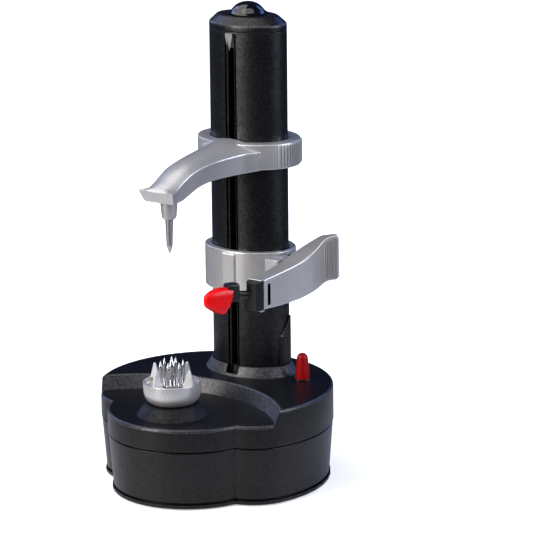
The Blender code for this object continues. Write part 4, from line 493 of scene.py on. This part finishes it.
def stepTool(grow, low, high, finish, rounded=0.0):
    # the cone that the crescent step follows; its mouth turns outwards to round the step's top edge
    foot, deck = baseLook["lowerDeck"], baseLook["upperDeck"]
    slope = stepLook["lean"] / (deck - foot)
    radius = stepLook["radius"] + grow
    corners = [(0, low, 0), (radius + (low - foot) * slope, low, 0)]
    if rounded:
        edge = radius + (deck - foot) * slope
        mouth = edge + rounded * 1.02
        corners += [(edge, deck, rounded), (mouth, deck, 0), (mouth, high, 0), (0, high, 0)]
    else:
        corners += [(radius + (high - foot) * slope, high, 0), (0, high, 0)]
    return turn("stepTool", corners, (0, towerAt - stepLook["ahead"]), finish, sides=360)


def shellSolid(name, foot, top):
    look = baseLook
    side = [(look["wall"], foot, 0), (0, foot, look["footRound"]), (0, top, look["topRound"]), (12, top, 0)]
    shell = baseSweep(name, side, satinBlack)
    # the top edge gets the worn finish with its painted highlight
    wearEdgeWithHighlight(shell, top - look["topRound"], top)
    return shell


def makeCover():
    # the lower deck's solid joined to the upper deck's, which the step has been cut from, then hollowed
    look = baseLook
    wall, foot, lower, upper = look["wall"], look["coverFoot"], look["lowerDeck"], look["upperDeck"]
    raised = shellSolid("upperShell", foot, upper)
    raised.data.materials.append(coarseBlack)
    carve(raised, stepTool(0, lower - 5, upper + 4, coarseBlack, look["topRound"]))
    cover = shellSolid("baseCover", foot, lower)
    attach(cover, "base")
    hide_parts("base_cover")
    carve(cover, raised, how="UNION")
    hollow = baseSweep("coverHollow", [(wall, foot - 2, 0), (wall, upper - wall, 0)], smoothBlack)
    carve(hollow, stepTool(wall, lower - wall, upper + 2, smoothBlack))
    carve(cover, hollow, boreAt("spindleWell", 5.1, 40, 70, cupAxis),
          boreAt("buttonWell", 6.6, 40, 70, buttonAt), ovalBore("towerWell", 0.3, 40, 70), angle=40)
    evenShading(cover)


def makePedestal():
    # the coarse-grained flare that the tower stands in, with a gap where the slot runs out
    profile = [(5.2, 59.2, 0), (5.2, 59.9, 0.5), (1.3, 66.0, 0.5), (0.3, 66.0, 0), (0.3, 59.2, 0)]
    rings = [ovalRing(grow, height, grow * 0.72 + 0.1) for grow, height in softCorners(profile, True)]
    flare = loft("towerPedestal", rings, coarseBlack, "base", loop=True)
    half = towerLook["slotHalf"]
    carve(flare, blockAt("slotGap", (-half, 10, 61.2), (half, towerAt - 17, 70)))
    roundEdges(flare, 0.25, 2)


def makeCone():
    # the cone's darker tone is painted shade from the cup and the food above it
    profile = [(5.1, 50.8, 0), (21.8, 50.8, 0), (21.5, 51.2, 0.4), (16.4, 57.9, 1.0), (5.1, 57.9, 0.3)]
    turn("spindleCone", profile, cupAxis, dullShadedBlack, "base", closed=True, sides=128)


# Tower: an oval tube with a rail slot in front, a chamfered cap and a polished dome
towerLook = {"foot": 49.5, "top": 274.2, "wall": 3.0, "slotHalf": 4.3, "slotDepth": 1.7, "slitHalf": 1.9,
             "slotFoot": 60.4, "slotTop": 273.3, "railProud": 0.9, "tipDrop": 11.0}


def makeTower():
    look = towerLook
    wall, foot, top = look["wall"], look["foot"], look["top"]
    low, high, half, slit = look["slotFoot"], look["slotTop"], look["slotHalf"], look["slitHalf"]
    floor, outside = towerFront + look["slotDepth"], towerFront - 2
    column = ovalSweep("towerColumn", [(-wall, foot, 0.3), (0, foot, 0.3), (0, top, 0.35), (-wall, top, 0.3)],
                       fineBlack, "base", ["tower_column"], steps=3)
    column.data.materials.append(smoothBlack)
    carve(column, blockAt("slotTool", (-half, outside, low), (half, floor, high), fineBlack),
          blockAt("slitTool", (-slit, outside, 66), (slit, towerFront + 6, high - 9)),
          blockAt("ribSeat", (24.0, towerAt - 4.4, 66.4), (26.6, towerAt + 4.4, 66.5)))
    roundEdges(column, 0.35)
    for name, side in (("left", -1), ("right", 1)):
        x0, x1 = sorted((side * (slit + 0.15), side * (slit + 0.85)))
        blockAt("slotRail." + name, (x0, floor - look["railProud"], low + 0.3), (x1, floor + 0.2, high - 0.4),
                smoothBlack, "base", soft=0.2, segments=2)
    makeRailScrew(floor)
    makeSlotTip(floor)
    makeCamRib()


def makeRailScrew(floor):
    # a small pan head, turned upright and then laid to face forward
    head = [(0, -0.8, 0), (1.25, -0.8, 0.1), (1.25, 0.35, 0.3), (0.55, 0.35, 0.1), (0.45, 0.05, 0.1),
            (0, 0.05, 0)]
    screw = turn("railScrew", head, (0, 0), smoothBlack, sides=32)
    place = Matrix.Translation((-3.0 * mm, (floor - 0.1) * mm, 152.6 * mm))
    screw.data.transform(place @ Matrix.Rotation(pi / 2, 4, "X"))
    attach(screw, "base")


def makeSlotTip(floor):
    # the leaf-shaped ramp at the slot's top end: from the tower's face it sinks to the slot's floor
    top, drop = towerLook["slotTop"] - 0.15, towerLook["tipDrop"]
    left = -towerLook["slotHalf"] + 0.1
    rings = []
    for k in range(13):
        t = k / 12
        z = top - drop * t
        x0, x1 = left + 2.4 * t ** 2.2, 1.1 - 3.0 * t ** 1.5
        face = towerFront + 0.5 + (floor - towerFront - 0.6) * t ** 1.6
        across = [(x0 + (x1 - x0) * s, face + 0.9 * (s - 0.45) ** 2, z) for s in (0, 0.2, 0.4, 0.6, 0.8, 1)]
        rings.append(across + [(x1, floor + 0.3, z), (x0, floor + 0.3, z)])
    loft("slotTip", rings, paleGrain, "base", angle=50)


def makeCamRib():
    # on the right flank, low down: the ramp that lets the carriage's lever ride out
    y0, y1 = towerAt - 4.5, towerAt + 4.5
    section = [(y0, 66.3), (y1, 66.3), (y1, 97.0), (y0, 85.0)]
    rib = loft("camRib", [[(x, y, z) for y, z in section] for x in (24.3, 27.1)], fineBlack, "base")
    roundEdges(rib, 0.5)


capLook = {"foot": 274.5, "band": 3.4, "chamfer": 5.0, "domeHeight": 7.1}
# share of the way up the dome's side, radius and depth below its crown
domeStations = [(0, 12.6, 7.1), (0.08, 11.8, 6.75), (0.18, 10.9, 6.05), (0.30, 10.0, 5.1), (0.44, 9.0, 3.85),
                (0.58, 7.6, 2.5), (0.72, 5.7, 1.3), (0.86, 3.2, 0.4), (1.0, 0, 0)]


def makeCap():
    look = capLook
    foot, shoulder = look["foot"], look["foot"] + look["band"]
    top = shoulder + look["chamfer"]
    profile = [(-2.5, foot, 0), (0, foot, 0.35), (0, shoulder, 1.0), (-5.6, top, 1.6), (-11, top, 0)]
    rings = [ovalRing(grow, height) for grow, height in softCorners(profile)]
    cap = loft("towerCap", rings, fineBlack, "base", ["tower_cap"])
    # the shoulder's edge gets the worn finish with its painted highlight
    wearEdgeWithHighlight(cap, shoulder - 0.7, shoulder + 0.7)
    carve(cap, boreAt("domeSeat", 2.8, top - 3, top + 1, (0, towerAt), sides=32))
    seat = top + 0.3
    crown = seat + look["domeHeight"]
    dome = [(0, seat - 2.5, 0), (2.5, seat - 2.5, 0.3), (2.5, seat, 0)]
    dome += [(radius, crown - drop, 0) for _, radius, drop in smoothPath(domeStations, 40)]
    turn("capDome", dome, (0, towerAt), glossBlack, "base", ["cap_dome"], steps=4)


# Sliding arm: a ring round the tower, a curved hood with a flared lip, and a ribbed grip
armLook = {"foot": 191.8, "top": 207.5, "wall": 8.0, "root": 19.4, "length": 74.6, "crown": 3.2, "shoulder": 2.5,
           "shoulderTo": 0.7, "dish": 4.2, "lipRise": 1.2, "lipSweep": 1.2, "lipHalf": 13.2, "setBack": 3.0,
           "ribs": 15, "ribFrom": 64, "ribTo": 126, "ribWide": 1.1, "ribProud": 0.8}
# forward share, top height, underside height, half width on top and at the foot
armStations = [(0.0, 205.7, 191.4, 22.9, 22.2), (0.06, 205.4, 191.0, 20.2, 19.4),
               (0.135, 205.0, 190.4, 16.6, 15.5), (0.26, 204.2, 190.1, 14.0, 12.6),
               (0.397, 203.2, 189.9, 12.2, 10.8), (0.493, 202.2, 189.5, 11.6, 10.2),
               (0.603, 200.5, 188.2, 11.0, 9.6), (0.671, 199.0, 186.6, 10.7, 9.3),
               (0.74, 197.0, 184.6, 10.3, 8.9), (0.808, 194.6, 183.0, 10.0, 8.9),
               (0.877, 191.95, 182.5, 10.0, 9.0), (0.918, 190.55, 182.6, 10.3, 9.3),
               (0.955, 189.6, 182.8, 11.0, 9.8), (0.985, 189.4, 183.1, 12.2, 10.6),
               (1.0, 189.5, 183.4, 12.8, 11.0)]
# where the nose's changes begin and how long they take, as shares of the arm's length
noseSpans = {"dish": (0.918, 0.082), "lip": (0.93, 0.05), "setBack": (0.96, 0.04)}


def noseShare(share, change):
    start, length = noseSpans[change]
    return max(0, (share - start) / length)


def armSection(values):
    # crowned across, and at the very nose dished instead, so that the lip's ends turn up
    look = armLook
    share, top, foot, topHalf, footHalf = values
    y = towerAt - look["root"] - look["length"] * share
    lip = min(1, noseShare(share, "lip"))
    crown = look["crown"] - look["dish"] * noseShare(share, "dish") ** 1.5
    shoulder = look["shoulder"] * max(0, 1 - (share / look["shoulderTo"]) ** 2)
    edge, soft = top + look["lipRise"] * lip - shoulder, 0.8 - 0.3 * lip
    corners = [(footHalf, foot, 0.9), (topHalf, edge, soft)]
    corners += [(topHalf * across, edge + (crown + shoulder) * (1 - across ** 2), 0)
                for across in (0.86, 0.68, 0.48, 0.25, 0, -0.25, -0.48, -0.68, -0.86)]
    corners += [(-topHalf, edge, soft), (-footHalf, foot, 0.9)]
    setBack, sweep = look["setBack"] * noseShare(share, "setBack"), look["lipSweep"] * lip
    return [(x, y + setBack * max(0, (top - z) / (top - foot)) - sweep * (x / look["lipHalf"]) ** 2, z)
            for x, z in softCorners(corners, True, 4)]


def gripRib(angle, low, high):
    # one upright rib on the ring's oval wall, at this bearing from straight ahead
    t, proud = radians(angle), armLook["ribProud"]
    reachX, reachY = towerOval["wide"] + armLook["wall"], towerOval["deep"] + armLook["wall"]
    spot = Vector((reachX * sin(t), towerAt - reachY * cos(t), 0))
    out = Vector((reachY * sin(t), -reachX * cos(t), 0)).normalized()
    along = Vector((-out.y, out.x, 0))
    section = [spot + along * a * armLook["ribWide"] / 2 + out * o
               for a, o in ((-1, -0.4), (1, -0.4), (0.6, proud), (-0.6, proud))]
    return [[(p.x, p.y, z) for p in section] for z in (low, high)]


def makeRibs(name, groups, body, soft=0.22):
    points, faces = [], []
    for rings in groups:
        start = len(points)
        points += [point for ring in rings for point in ring]
        faces += [tuple(start + index for index in face) for face in skinFaces(len(rings), len(rings[0]))]
    roundEdges(makePiece(name, points, faces, silver, body), soft, 2)


def makeArm():
    look = armLook
    silverBand("armRing", look, "upper_arm", "top_arm")
    sections = [armSection(values) for values in smoothPath(armStations, 56)]
    hood = loft("armHood", sections, silver, "upper_arm")
    carve(hood, ovalBore("hoodBore", 0.5, 170, 230, silver),
          boreAt("holderHole", 3.5, 170, 187.7, cupAxis, silver, 48))
    roundEdges(hood, 0.35, 2)
    step = (look["ribTo"] - look["ribFrom"]) / (look["ribs"] - 1)
    low, high = look["foot"] + 1.2, look["top"] - 1.2
    groups = [gripRib(look["ribFrom"] + step * k, low, high) for k in range(look["ribs"])]
    makeRibs("armGripRibs", groups, "upper_arm")
    # beside the slot's rail screw, and short enough to stop under the slot's tip
    blockAt("armTongue", (-1.5, towerAt - 20.6, 192.8), (3.9, towerAt - 17.3, 201.8), silver, "upper_arm",
            soft=0.3)


holderLook = {"top": 182.6, "foot": 171.3, "pinTip": 150}


def makeHolder():
    # a stepped holder with a hollow that the pin's head turns in
    top, foot, tip = holderLook["top"], holderLook["foot"], holderLook["pinTip"]
    outside = [(0, 187.4, 0), (3.2, 187.4, 0.3), (3.2, top, 0), (5.3, top, 0.4), (4.45, foot + 1.3, 0.5),
               (4.3, foot + 1.1, 0.3), (3.25, foot, 0.4)]
    inside = [(2.55, foot, 0), (2.55, foot + 5.3, 0), (3.5, foot + 5.3, 0), (3.5, top - 1.2, 0),
              (0, top - 1.2, 0)]
    turn("pinHolder", outside + inside, cupAxis, silver, "upper_arm", ["pin_holder"], steps=4)
    pin = [(0, 180.7, 0), (3.1, 180.7, 0.3), (3.1, 176.8, 0), (2.2, 176.8, 0), (2.45, foot - 1, 0.8),
           (2.25, foot - 4, 1.5), (1.85, tip + 5, 1.2), (0.25, tip + 0.1, 0.2), (0, tip, 0)]
    turn("topPin", pin, cupAxis, satinSteel, "centre_pin", ["top_pin"], sides=64)


# Carriage: the lower ring with its flat front panel, and the sprung lever that carries the blade
carriageLook = {"foot": 113.3, "top": 139.5, "wall": 4.5, "panelHalf": 5.2, "panelProud": 1.0}
pivotAt = (38.5, 30.85)
hingeLook = {"pin": 2.15, "barrel": 5.2, "foot": 121.0, "top": 128.0}


def makeCarriage():
    look = carriageLook
    low, high, half = look["foot"], look["top"], look["panelHalf"]
    ring = silverBand("carriageRing", look, "carriage", "carriage_ring")
    carve(ring, blockAt("ribRelief", (22.8, towerAt - 4.9, low - 2), (27.5, towerAt + 4.9, high + 2), silver))
    roundEdges(ring, 0.25, 2)
    face = towerFront - look["wall"]
    blockAt("frontPanel", (-half, face - look["panelProud"], low + 0.9), (half, face + 3, high - 0.9), silver,
            "carriage", soft=1.5, segments=6)
    blockAt("slitKey", (-1.5, face + 2.2, low + 4.5), (1.5, 27.2, high - 4.5), silver, "carriage", soft=0.3)
    makeHinge(low, high)


def makeHinge(low, high):
    # a boss on the ring's flank, a web and the barrel that the lever's pin runs through
    boss = blockAt("hingeBoss", (21.8, 24.35, low + 1.5), (31.8, 37.35, 136.2), silver, "carriage")
    carve(boss, ovalBore("bossBore", 2.4, low - 5, high + 5, silver))
    roundEdges(boss, 0.8)
    (x, y), pin, barrel = pivotAt, hingeLook["pin"], hingeLook["barrel"]
    foot, top = hingeLook["foot"], hingeLook["top"]
    blockAt("hingeWeb", (29.5, y - 3.1, foot + 0.1), (x, y + 3.1, top - 0.1), silver, "carriage", soft=0.3)
    turn("hingeBarrel", [(pin, foot, 0.3), (barrel, foot, 0.4), (barrel, top, 0.4), (pin, top, 0.3)], pivotAt,
         silver, "carriage", closed=True, sides=48)


# Lever sections: share of its length, outer edge x and y, inner edge x and y, top and foot
leverStations = [(0.0, 43.3, -6.25, 33.7, -6.25, 132.4, 113.9), (0.22, 46.1, 7.8, 36.2, 6.9, 134.6, 113.9),
                 (0.44, 50.0, 22.2, 38.3, 20.5, 138.0, 115.2), (0.60, 52.8, 29.6, 41.5, 32.6, 141.4, 117.4),
                 (0.72, 55.2, 33.4, 45.3, 40.4, 145.2, 119.8), (0.82, 57.6, 36.2, 50.4, 44.2, 149.6, 122.8),
                 (0.89, 59.6, 38.6, 55.0, 45.0, 151.6, 124.3), (0.97, 62.4, 42.0, 60.3, 45.4, 152.6, 124.6),
                 (0.99, 63.3, 43.1, 62.2, 44.9, 152.3, 125.0), (1.0, 63.6, 43.6, 63.2, 44.4, 151.2, 126.2)]
hubRise = {"height": 2.0, "at": 0.66, "reach": 0.22}    # the inner top edge swells over the hinge


def leverSection(values):
    share, outerX, outerY, innerX, innerY, top, foot = values
    outer, inner = Vector((outerX, outerY)), Vector((innerX, innerY))
    width, way = (outer - inner).length, (outer - inner).normalized()
    rise = hubRise["height"] * max(0, 1 - ((share - hubRise["at"]) / hubRise["reach"]) ** 2)
    corners = softCorners([(width, top, 1.0), (width, foot, 1.0), (0, foot, 0.7), (0, top + rise, 0.7)], True, 4)
    return [(inner.x + way.x * across, inner.y + way.y * across, z) for across, z in corners]


def makeLever():
    sections = [leverSection(values) for values in smoothPath(leverStations, 48)]
    lever = loft("bladeLever", sections, silver, "lever", ["blade_lever"])
    profile = [(0, 115.2, 0), (6.3, 115.2, 0.5), (6.3, 137.6, 0.6), (0, 137.6, 0)]
    eye = turn("leverEye", profile, pivotAt, silver, "lever", sides=64)
    for piece in (eye, lever):
        carve(piece, boreAt("barrelRoom", 6.7, 120.7, 131.4, pivotAt, silver, 64),
              boreAt("pinBore", hingeLook["pin"], 100, 150, pivotAt, silver))
    carve(lever, blockAt("tonguePocket", (35.9, -8, 116.3), (41.1, 2.1, 129.5)),
          blockAt("sideWindow", (42.0, -3.2, 116.1), (50, -0.9, 129.4)))
    roundEdges(lever, 0.45)
    # the thin lips over and under the block at the lever's front end
    blockAt("leverBrow", (34.3, -9.2, 132.0), (43.3, -5.6, 132.9), silver, "lever", soft=0.35)
    blockAt("leverToe", (35.0, -9.2, 112.9), (43.3, -5.6, 113.75), silver, "lever", soft=0.35)
    makeLeverGrip()


# "from" and "step" count in points along the lever's path
leverGrip = {"ribs": 7, "points": 200, "from": 167, "step": 4.8, "half": 0.27, "proud": 1.0, "inset": 1.6}


def makeLeverGrip():
    # upright ribs on the outer face of the lever's flared end
    look, groups = leverGrip, []
    path = smoothPath(leverStations, look["points"])
    for k in range(look["ribs"]):
        at = round(look["from"] + k * look["step"])
        x, y, top, foot = (path[at][i] for i in (1, 2, 5, 6))
        ahead, behind = path[at + 1], path[at - 1]
        run = Vector((ahead[1] - behind[1], ahead[2] - behind[2])).normalized()
        out = Vector((run.y, -run.x))
        section = [Vector((x, y)) + run * a * look["half"] + out * o
                   for a, o in ((-1, -0.6), (1, -0.6), (0.7, look["proud"]), (-0.7, look["proud"]))]
        groups.append([[(p.x, p.y, z) for p in section] for z in (foot + look["inset"], top - look["inset"])])
    makeRibs("leverGripRibs", groups, "lever", 0.12)


# Blade head: a black block and neck, a black carrier and the red guard over the blade
headRoot = Vector((33.384, -19.406, 125.494))
neckLine = Vector((-0.466928, -0.878163, 0.103962))
headAhead = Vector((neckLine.x, neckLine.y, 0)).normalized()    # level, along the neck
headRight = Vector((-headAhead.y, headAhead.x, 0))


def alongHead(forward, side, rise):
    return headRoot + headAhead * forward + headRight * side + Vector((0, 0, rise))


def rodBetween(name, start, end, radius, body=None):
    # a black nylon rod with softened ends
    way = (end - start).normalized()
    side = way.cross(Vector((0, 0, 1))).normalized()
    over = side.cross(way)
    length = (end - start).length
    path = softCorners([(0.01, 0, 0), (radius, 0, 0.3), (radius, length, 0.3), (0.01, length, 0)], False, 3)
    rings = [[tuple(start + way * l + (side * cos(t) + over * sin(t)) * r) for t in bearings(32)]
             for r, l in path]
    return loft(name, rings, satinNylon, body)


def makeBlock():
    block = blockAt("bladeBlock", (33.8, -13.85, 113.9), (43.2, -6.55, 131.9), satinNylon, "lever",
                    ["blade_block"])
    carve(block, blockAt("blockStep", (32, -15, 121.5), (36.0, -11.4, 133), satinNylon))
    roundEdges(block, 0.6)
    blockAt("blockTongue", (36.2, -7.2, 116.6), (40.8, 1.7, 129.2), satinNylon, "lever", soft=0.3)
    rodBetween("headNeck", Vector((37.4, -11.85, 124.6)), headRoot + neckLine * 5.0, 1.7, "lever")


def headSection(forward, side, halfWidth, low, high, softness):
    points = []
    for t in bearings(32):
        c, s = cos(t), sin(t)
        x = abs(c) ** softness * (1 if c >= 0 else -1)
        z = abs(s) ** softness * (1 if s >= 0 else -1)
        rise = (low + high) / 2 + (high - low) / 2 * z
        points.append(tuple(alongHead(forward, side + halfWidth * x, rise)))
    return points


# Carrier sections: forward from the head's root and share of the full size
carrierStations = ((0, 0.86), (0.35, 0.97), (0.9, 1.0), (7.1, 1.0), (7.65, 0.97), (8.0, 0.88))


def makeCarrier():
    sections = [headSection(forward, 0, 3.5 * size, -4.5 * size, 7.0 * size, 0.3)
                for forward, size in carrierStations]
    carrier = loft("bladeCarrier", sections, satinNylon, "blade_head", ["blade_carrier"])
    carve(carrier, rodBetween("neckBore", headRoot - neckLine * 2, headRoot + neckLine * 5.3, 1.85))


# Guard sections: forward from the head's root, sideways, half width, foot and top heights from the root
guardStations = [(0.0, 4.2, 0.2, 4.3, -8.0, 4.2), (0.12, 6.4, 0.2, 4.5, -9.4, 4.7),
                 (0.25, 8.8, 0.4, 4.6, -10.8, 5.1), (0.40, 11.4, 0.8, 4.6, -11.6, 5.3),
                 (0.58, 15.0, 1.4, 4.3, -10.2, 5.0), (0.74, 18.4, 2.1, 3.7, -8.1, 4.3),
                 (0.87, 21.2, 2.7, 2.9, -6.2, 3.3), (0.95, 22.8, 3.0, 2.1, -5.0, 2.4),
                 (0.985, 23.4, 3.1, 1.4, -4.2, 1.6), (1.0, 23.7, 3.15, 0.7, -3.2, 0.6)]
guardLook = {"slant": 0.34, "slantFrom": 3.0, "slantReach": 7.0, "shell": 1.3, "openBack": 2, "openFoot": 6.0,
             "closedNose": 1.8 / 23.5}


def guardSection(values, thin=0.0, deep=0.0):
    forward, side, half, low, high = values[1:]
    ring = headSection(0, side, max(half - thin, 0.5), low - deep, high - thin, 0.62)
    slant = guardLook["slant"] * max(0, 1 - (forward - guardLook["slantFrom"]) / guardLook["slantReach"])
    return [tuple(Vector(p) + headAhead * (forward + slant * (headRoot.z + high - p[2]))) for p in ring]


def makeGuard():
    look = guardLook
    guard = loft("bladeGuard", [guardSection(values) for values in smoothPath(guardStations, 36)], brightRed,
                 "blade_head", ["blade_guard"])
    # the peel's way is open at the back and below, and stops short of the nose
    hollow = []
    for share, forward, *others in smoothPath(guardStations, 24)[:21]:
        forward -= look["openBack"] + look["closedNose"] * forward * share
        hollow.append(guardSection([share, forward, *others], look["shell"], look["openFoot"]))
    carve(guard, loft("peelWay", hollow, brightRed))
    roundEdges(guard, 0.35)


# Food cup: satin silver bowl, four pale fins and bright prongs
cupLook = {"radius": 17.6, "footRadius": 13.6, "bottom": 58.4, "rim": 71.3, "dish": 2.2}
finLook = {"bearing": -5, "half": 0.75, "taper": 0.35, "height": 11, "tip": 80.2}


def makeCup():
    look = cupLook
    radius, rim, floor = look["radius"], look["rim"], look["rim"] - look["dish"]
    profile = [(0, look["bottom"], 0), (look["footRadius"], look["bottom"], 1.2), (16.7, 61.4, 3.2),
               (17.5, 65.4, 2.4), (radius, rim, 0.45), (16.0, rim, 0.45), (15.6, floor, 0.6), (0, floor, 0)]
    turn("foodCup", profile, cupAxis, silver, "spindle", ["food_cup"], sides=128)
    for k in range(4):
        makeCupFin(k, radians(finLook["bearing"] + 90 * k), floor)


def makeCupFin(index, angle, floor):
    # a triangular upright plate along a radius, thinner towards its tip
    look = finLook
    profile = [(8.9, floor - 0.2), (17.0, floor - 0.2), (17.0, 71.5), (14.5, look["tip"]), (13.2, look["tip"]),
               (9.1, floor + 0.8)]
    rings = []
    for offset in (-look["half"], look["half"]):
        ring = []
        for radius, height in profile:
            thin = offset * (1 - look["taper"] * (height - floor) / look["height"])
            ring.append((radius * sin(angle) + thin * cos(angle),
                         spindleAt - radius * cos(angle) + thin * sin(angle), height))
        rings.append(ring)
    fin = loft(f"cupFin.{index + 1}", rings, paleLacquer, "spindle")
    roundEdges(fin, 0.25, 2)


# "spike" and "prong" give a radius, a height and the length of the point
prongLook = {"plate": 8.3, "count": 6, "circle": 6.9, "bearing": 17.5, "spike": (2.1, 17.0, 6.0),
             "prong": (1.15, 14.5, 4.0)}


def makeProngs():
    look, low = prongLook, cupLook["rim"] - cupLook["dish"] + 0.3
    plate, face = look["plate"], low + 1.0
    turn("prongPlate", [(0, low, 0), (plate, low, 0.2), (plate, face, 0.3), (0, face, 0)], cupAxis,
         steel, "spindle", ["prong_plate"], sides=64)
    spots = [(0, 0, look["spike"])]
    for k in range(look["count"]):
        t = radians(look["bearing"] + 360 / look["count"] * k)
        spots.append((look["circle"] * sin(t), -look["circle"] * cos(t), look["prong"]))
    for index, (x, y, (radius, height, point)) in enumerate(spots):
        foot, top = low + 0.6, low + 0.5 + height
        profile = [(0, foot, 0), (radius, foot, 0), (radius, top - point, 0.8), (0.12, top - 0.1, 0.1),
                   (0, top, 0)]
        turn(f"prong.{index + 1}", profile, (x, spindleAt + y), steel, "spindle", sides=24)


# Start button and the bezel round its hole
def makeButton():
    deck = baseLook["upperDeck"]
    button = [(0, 52.2, 0), (1.7, 52.2, 0), (1.7, 54.6, 0), (5.9, 54.6, 0), (5.9, 55.8, 0), (4.6, 55.8, 0),
              (4.6, deck + 0.2, 1.0), (4.45, deck + 3.5, 2.0), (3.35, deck + 14.2, 1.6),
              (2.2, deck + 16.0, 1.3), (0, deck + 16.4, 0)]
    turn("startButton", button, buttonAt, deepRed, "button", ["start_button"], sides=64)
    bezel = [(4.95, 56.7, 0), (6.3, 56.7, 0), (6.3, deck + 0.1, 0.2), (6.2, deck + 0.75, 0.4),
             (5.3, deck + 0.75, 0.4), (4.95, deck + 0.3, 0.3)]
    turn("buttonBezel", bezel, buttonAt, smoothBlack, "base", ["button_bezel"], closed=True, sides=64)


# Underside: four rubber feet with a ringed sole
def makeFeet():
    sole = [(0, 2.1, 0), (5.5, 2.1, 0.2), (5.5, 0.7, 0.6), (4.6, 0, 0.4), (3.6, 0, 0.2), (3.3, 0.4, 0.2),
            (2.2, 0.4, 0.2), (1.9, 0, 0.2), (0, 0, 0)]
    for index in range(1, 5):
        low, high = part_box(f"rubber_foot_{index}")
        centre = ((low.x + high.x) / 2 / mm, (low.y + high.y) / 2 / mm)
        turn(f"rubberFoot.{index}", sole, centre, rubber, "base", [f"rubber_foot_{index}"], sides=48)


makeTray()
makeCover()
makePedestal()
makeCone()
print("base made")
makeTower()
makeCap()
print("tower made")
makeArm()
makeHolder()
print("arm made")
makeCarriage()
makeLever()
makeBlock()
makeCarrier()
makeGuard()
print("carriage and lever made")
makeCup()
makeProngs()
makeButton()
makeFeet()
print("cup, prongs and button made")


# stage, lights and camera
stageLook = {"floorSize": 6.0, "floor": "f4f4f4", "floorFar": "383838", "floorRough": 0.6, "nearTable": 0.13,
             "farTable": 0.40, "lift": 0.5, "world": "7c98e6", "worldStrength": 0.10, "backdrop": "ffffff"}
# azimuth, elevation, distance in metres, size, watts and tint
softLights = {
    "keyBox": (-20, 22, 1.3, (0.45, 1.0), 19, "fffaf3"),
    "topBox": (-70, 64, 1.3, (1.2, 1.0), 7, "fffaf4"),
    "cameraBox": (38, 66, 1.2, (1.2, 0.8), 4.5, "ffffff"),
    "leftBox": (-98, 24, 1.6, (0.6, 1.2), 6, "a8c0ff"),
    "rightBox": (105, 24, 1.5, (0.9, 1.0), 18, "eaf0ff"),
    "backBox": (168, 28, 1.7, (0.6, 1.2), 5, "7f9fff"),
}
lightAim = Vector((0, 0, 0.13))
camera = {"azimuth": 35.5, "elevation": 14.45, "away": 2.0, "lens": 216.0, "roll": -0.57,
          "aimRight": 11.92 * mm, "aimHeight": 122.3 * mm}


def directionTo(azimuth, elevation):
    a, e = radians(azimuth), radians(elevation)
    return Vector((sin(a) * cos(e), -cos(a) * cos(e), sin(e)))


def makeStage():
    look, half = stageLook, stageLook["floorSize"] / 2
    mesh = bpy.data.meshes.new("paleFloor")
    corners = [(-half, -half, 0), (half, -half, 0), (half, half, 0), (-half, half, 0)]
    mesh.from_pydata(corners, [], [(0, 1, 2, 3)])
    # the table is pale to the eye, and away from the object it throws little light back at it
    glow = {"Emission Color": hexColour(look["backdrop"]), "Roughness": look["floorRough"]}
    material, tree, shader, place = newMaterial("paleFloor", look["floor"], glow)
    seen = addNode(tree, "LightPath").outputs["Is Camera Ray"]
    away = addNode(tree, "VectorMath", {"operation": "LENGTH"}, {0: place}).outputs["Value"]
    near = mapRange(tree, away, (look["nearTable"], look["farTable"]), (1.0, 0.0))
    pale = addNode(tree, "Math", {"operation": "MAXIMUM"}, {0: near, 1: seen}).outputs["Value"]
    tree.links.new(blendColours(tree, pale, look["floorFar"], look["floor"]), shader.inputs["Base Color"])
    fade = addNode(tree, "Math", {"operation": "MULTIPLY_ADD", 1: -look["lift"], 2: 1.0}, {0: near})
    lift = addNode(tree, "Math", {"operation": "MULTIPLY"}, {0: seen, 1: fade.outputs["Value"]})
    tree.links.new(lift.outputs["Value"], shader.inputs["Emission Strength"])
    mesh.materials.append(material)
    addObject("paleFloor", mesh)


def makeWorld():
    # a dim blue room for reflections, and a plain backdrop for the eye
    world = bpy.data.worlds.new("studio")
    bpy.context.scene.world = world
    world.use_nodes = True
    tree = world.node_tree
    tree.nodes.clear()
    seen = addNode(tree, "LightPath").outputs["Is Camera Ray"]
    room = {"Color": hexColour(stageLook["world"]), "Strength": stageLook["worldStrength"]}
    backdrop = {"Color": hexColour(stageLook["backdrop"]), "Strength": 1.0}
    dim, bright = (addNode(tree, "Background", settings).outputs[0] for settings in (room, backdrop))
    mix = addNode(tree, "MixShader", links={0: seen, 1: dim, 2: bright})
    addNode(tree, "OutputWorld", links={"Surface": mix.outputs[0]})


def makeLights():
    for name, (azimuth, elevation, away, size, watts, tint) in softLights.items():
        data = bpy.data.lights.new(name, "AREA")
        data.shape = "RECTANGLE"
        data.size, data.size_y = size
        data.energy = watts
        data.color = hexColour(tint)[:3]
        way = directionTo(azimuth, elevation)
        facing = way.to_track_quat("Z", "Y").to_matrix().to_4x4()
        addObject(name, data).matrix_world = Matrix.Translation(lightAim + way * away) @ facing


def makeCamera():
    back = directionTo(camera["azimuth"], camera["elevation"])
    across = Vector((cos(radians(camera["azimuth"])), sin(radians(camera["azimuth"])), 0))
    up = back.cross(across)
    roll = radians(camera["roll"])
    right = across * cos(roll) + up * sin(roll)
    over = up * cos(roll) - across * sin(roll)
    aim = across * camera["aimRight"] + Vector((0, towerAt * mm, camera["aimHeight"]))
    at = aim + back * camera["away"]
    data = bpy.data.cameras.new("productCamera")
    data.lens = camera["lens"]
    data.sensor_width = 36.0
    data.clip_start, data.clip_end = 0.1, 20.0
    eye = addObject("productCamera", data)
    eye.matrix_world = Matrix(((right.x, over.x, back.x, at.x), (right.y, over.y, back.y, at.y),
                               (right.z, over.z, back.z, at.z), (0, 0, 0, 1)))
    bpy.context.scene.camera = eye


bpy.context.scene.view_settings.view_transform = "Standard"
makeStage()
makeWorld()
makeLights()
makeCamera()
print("stage, lights and camera set")
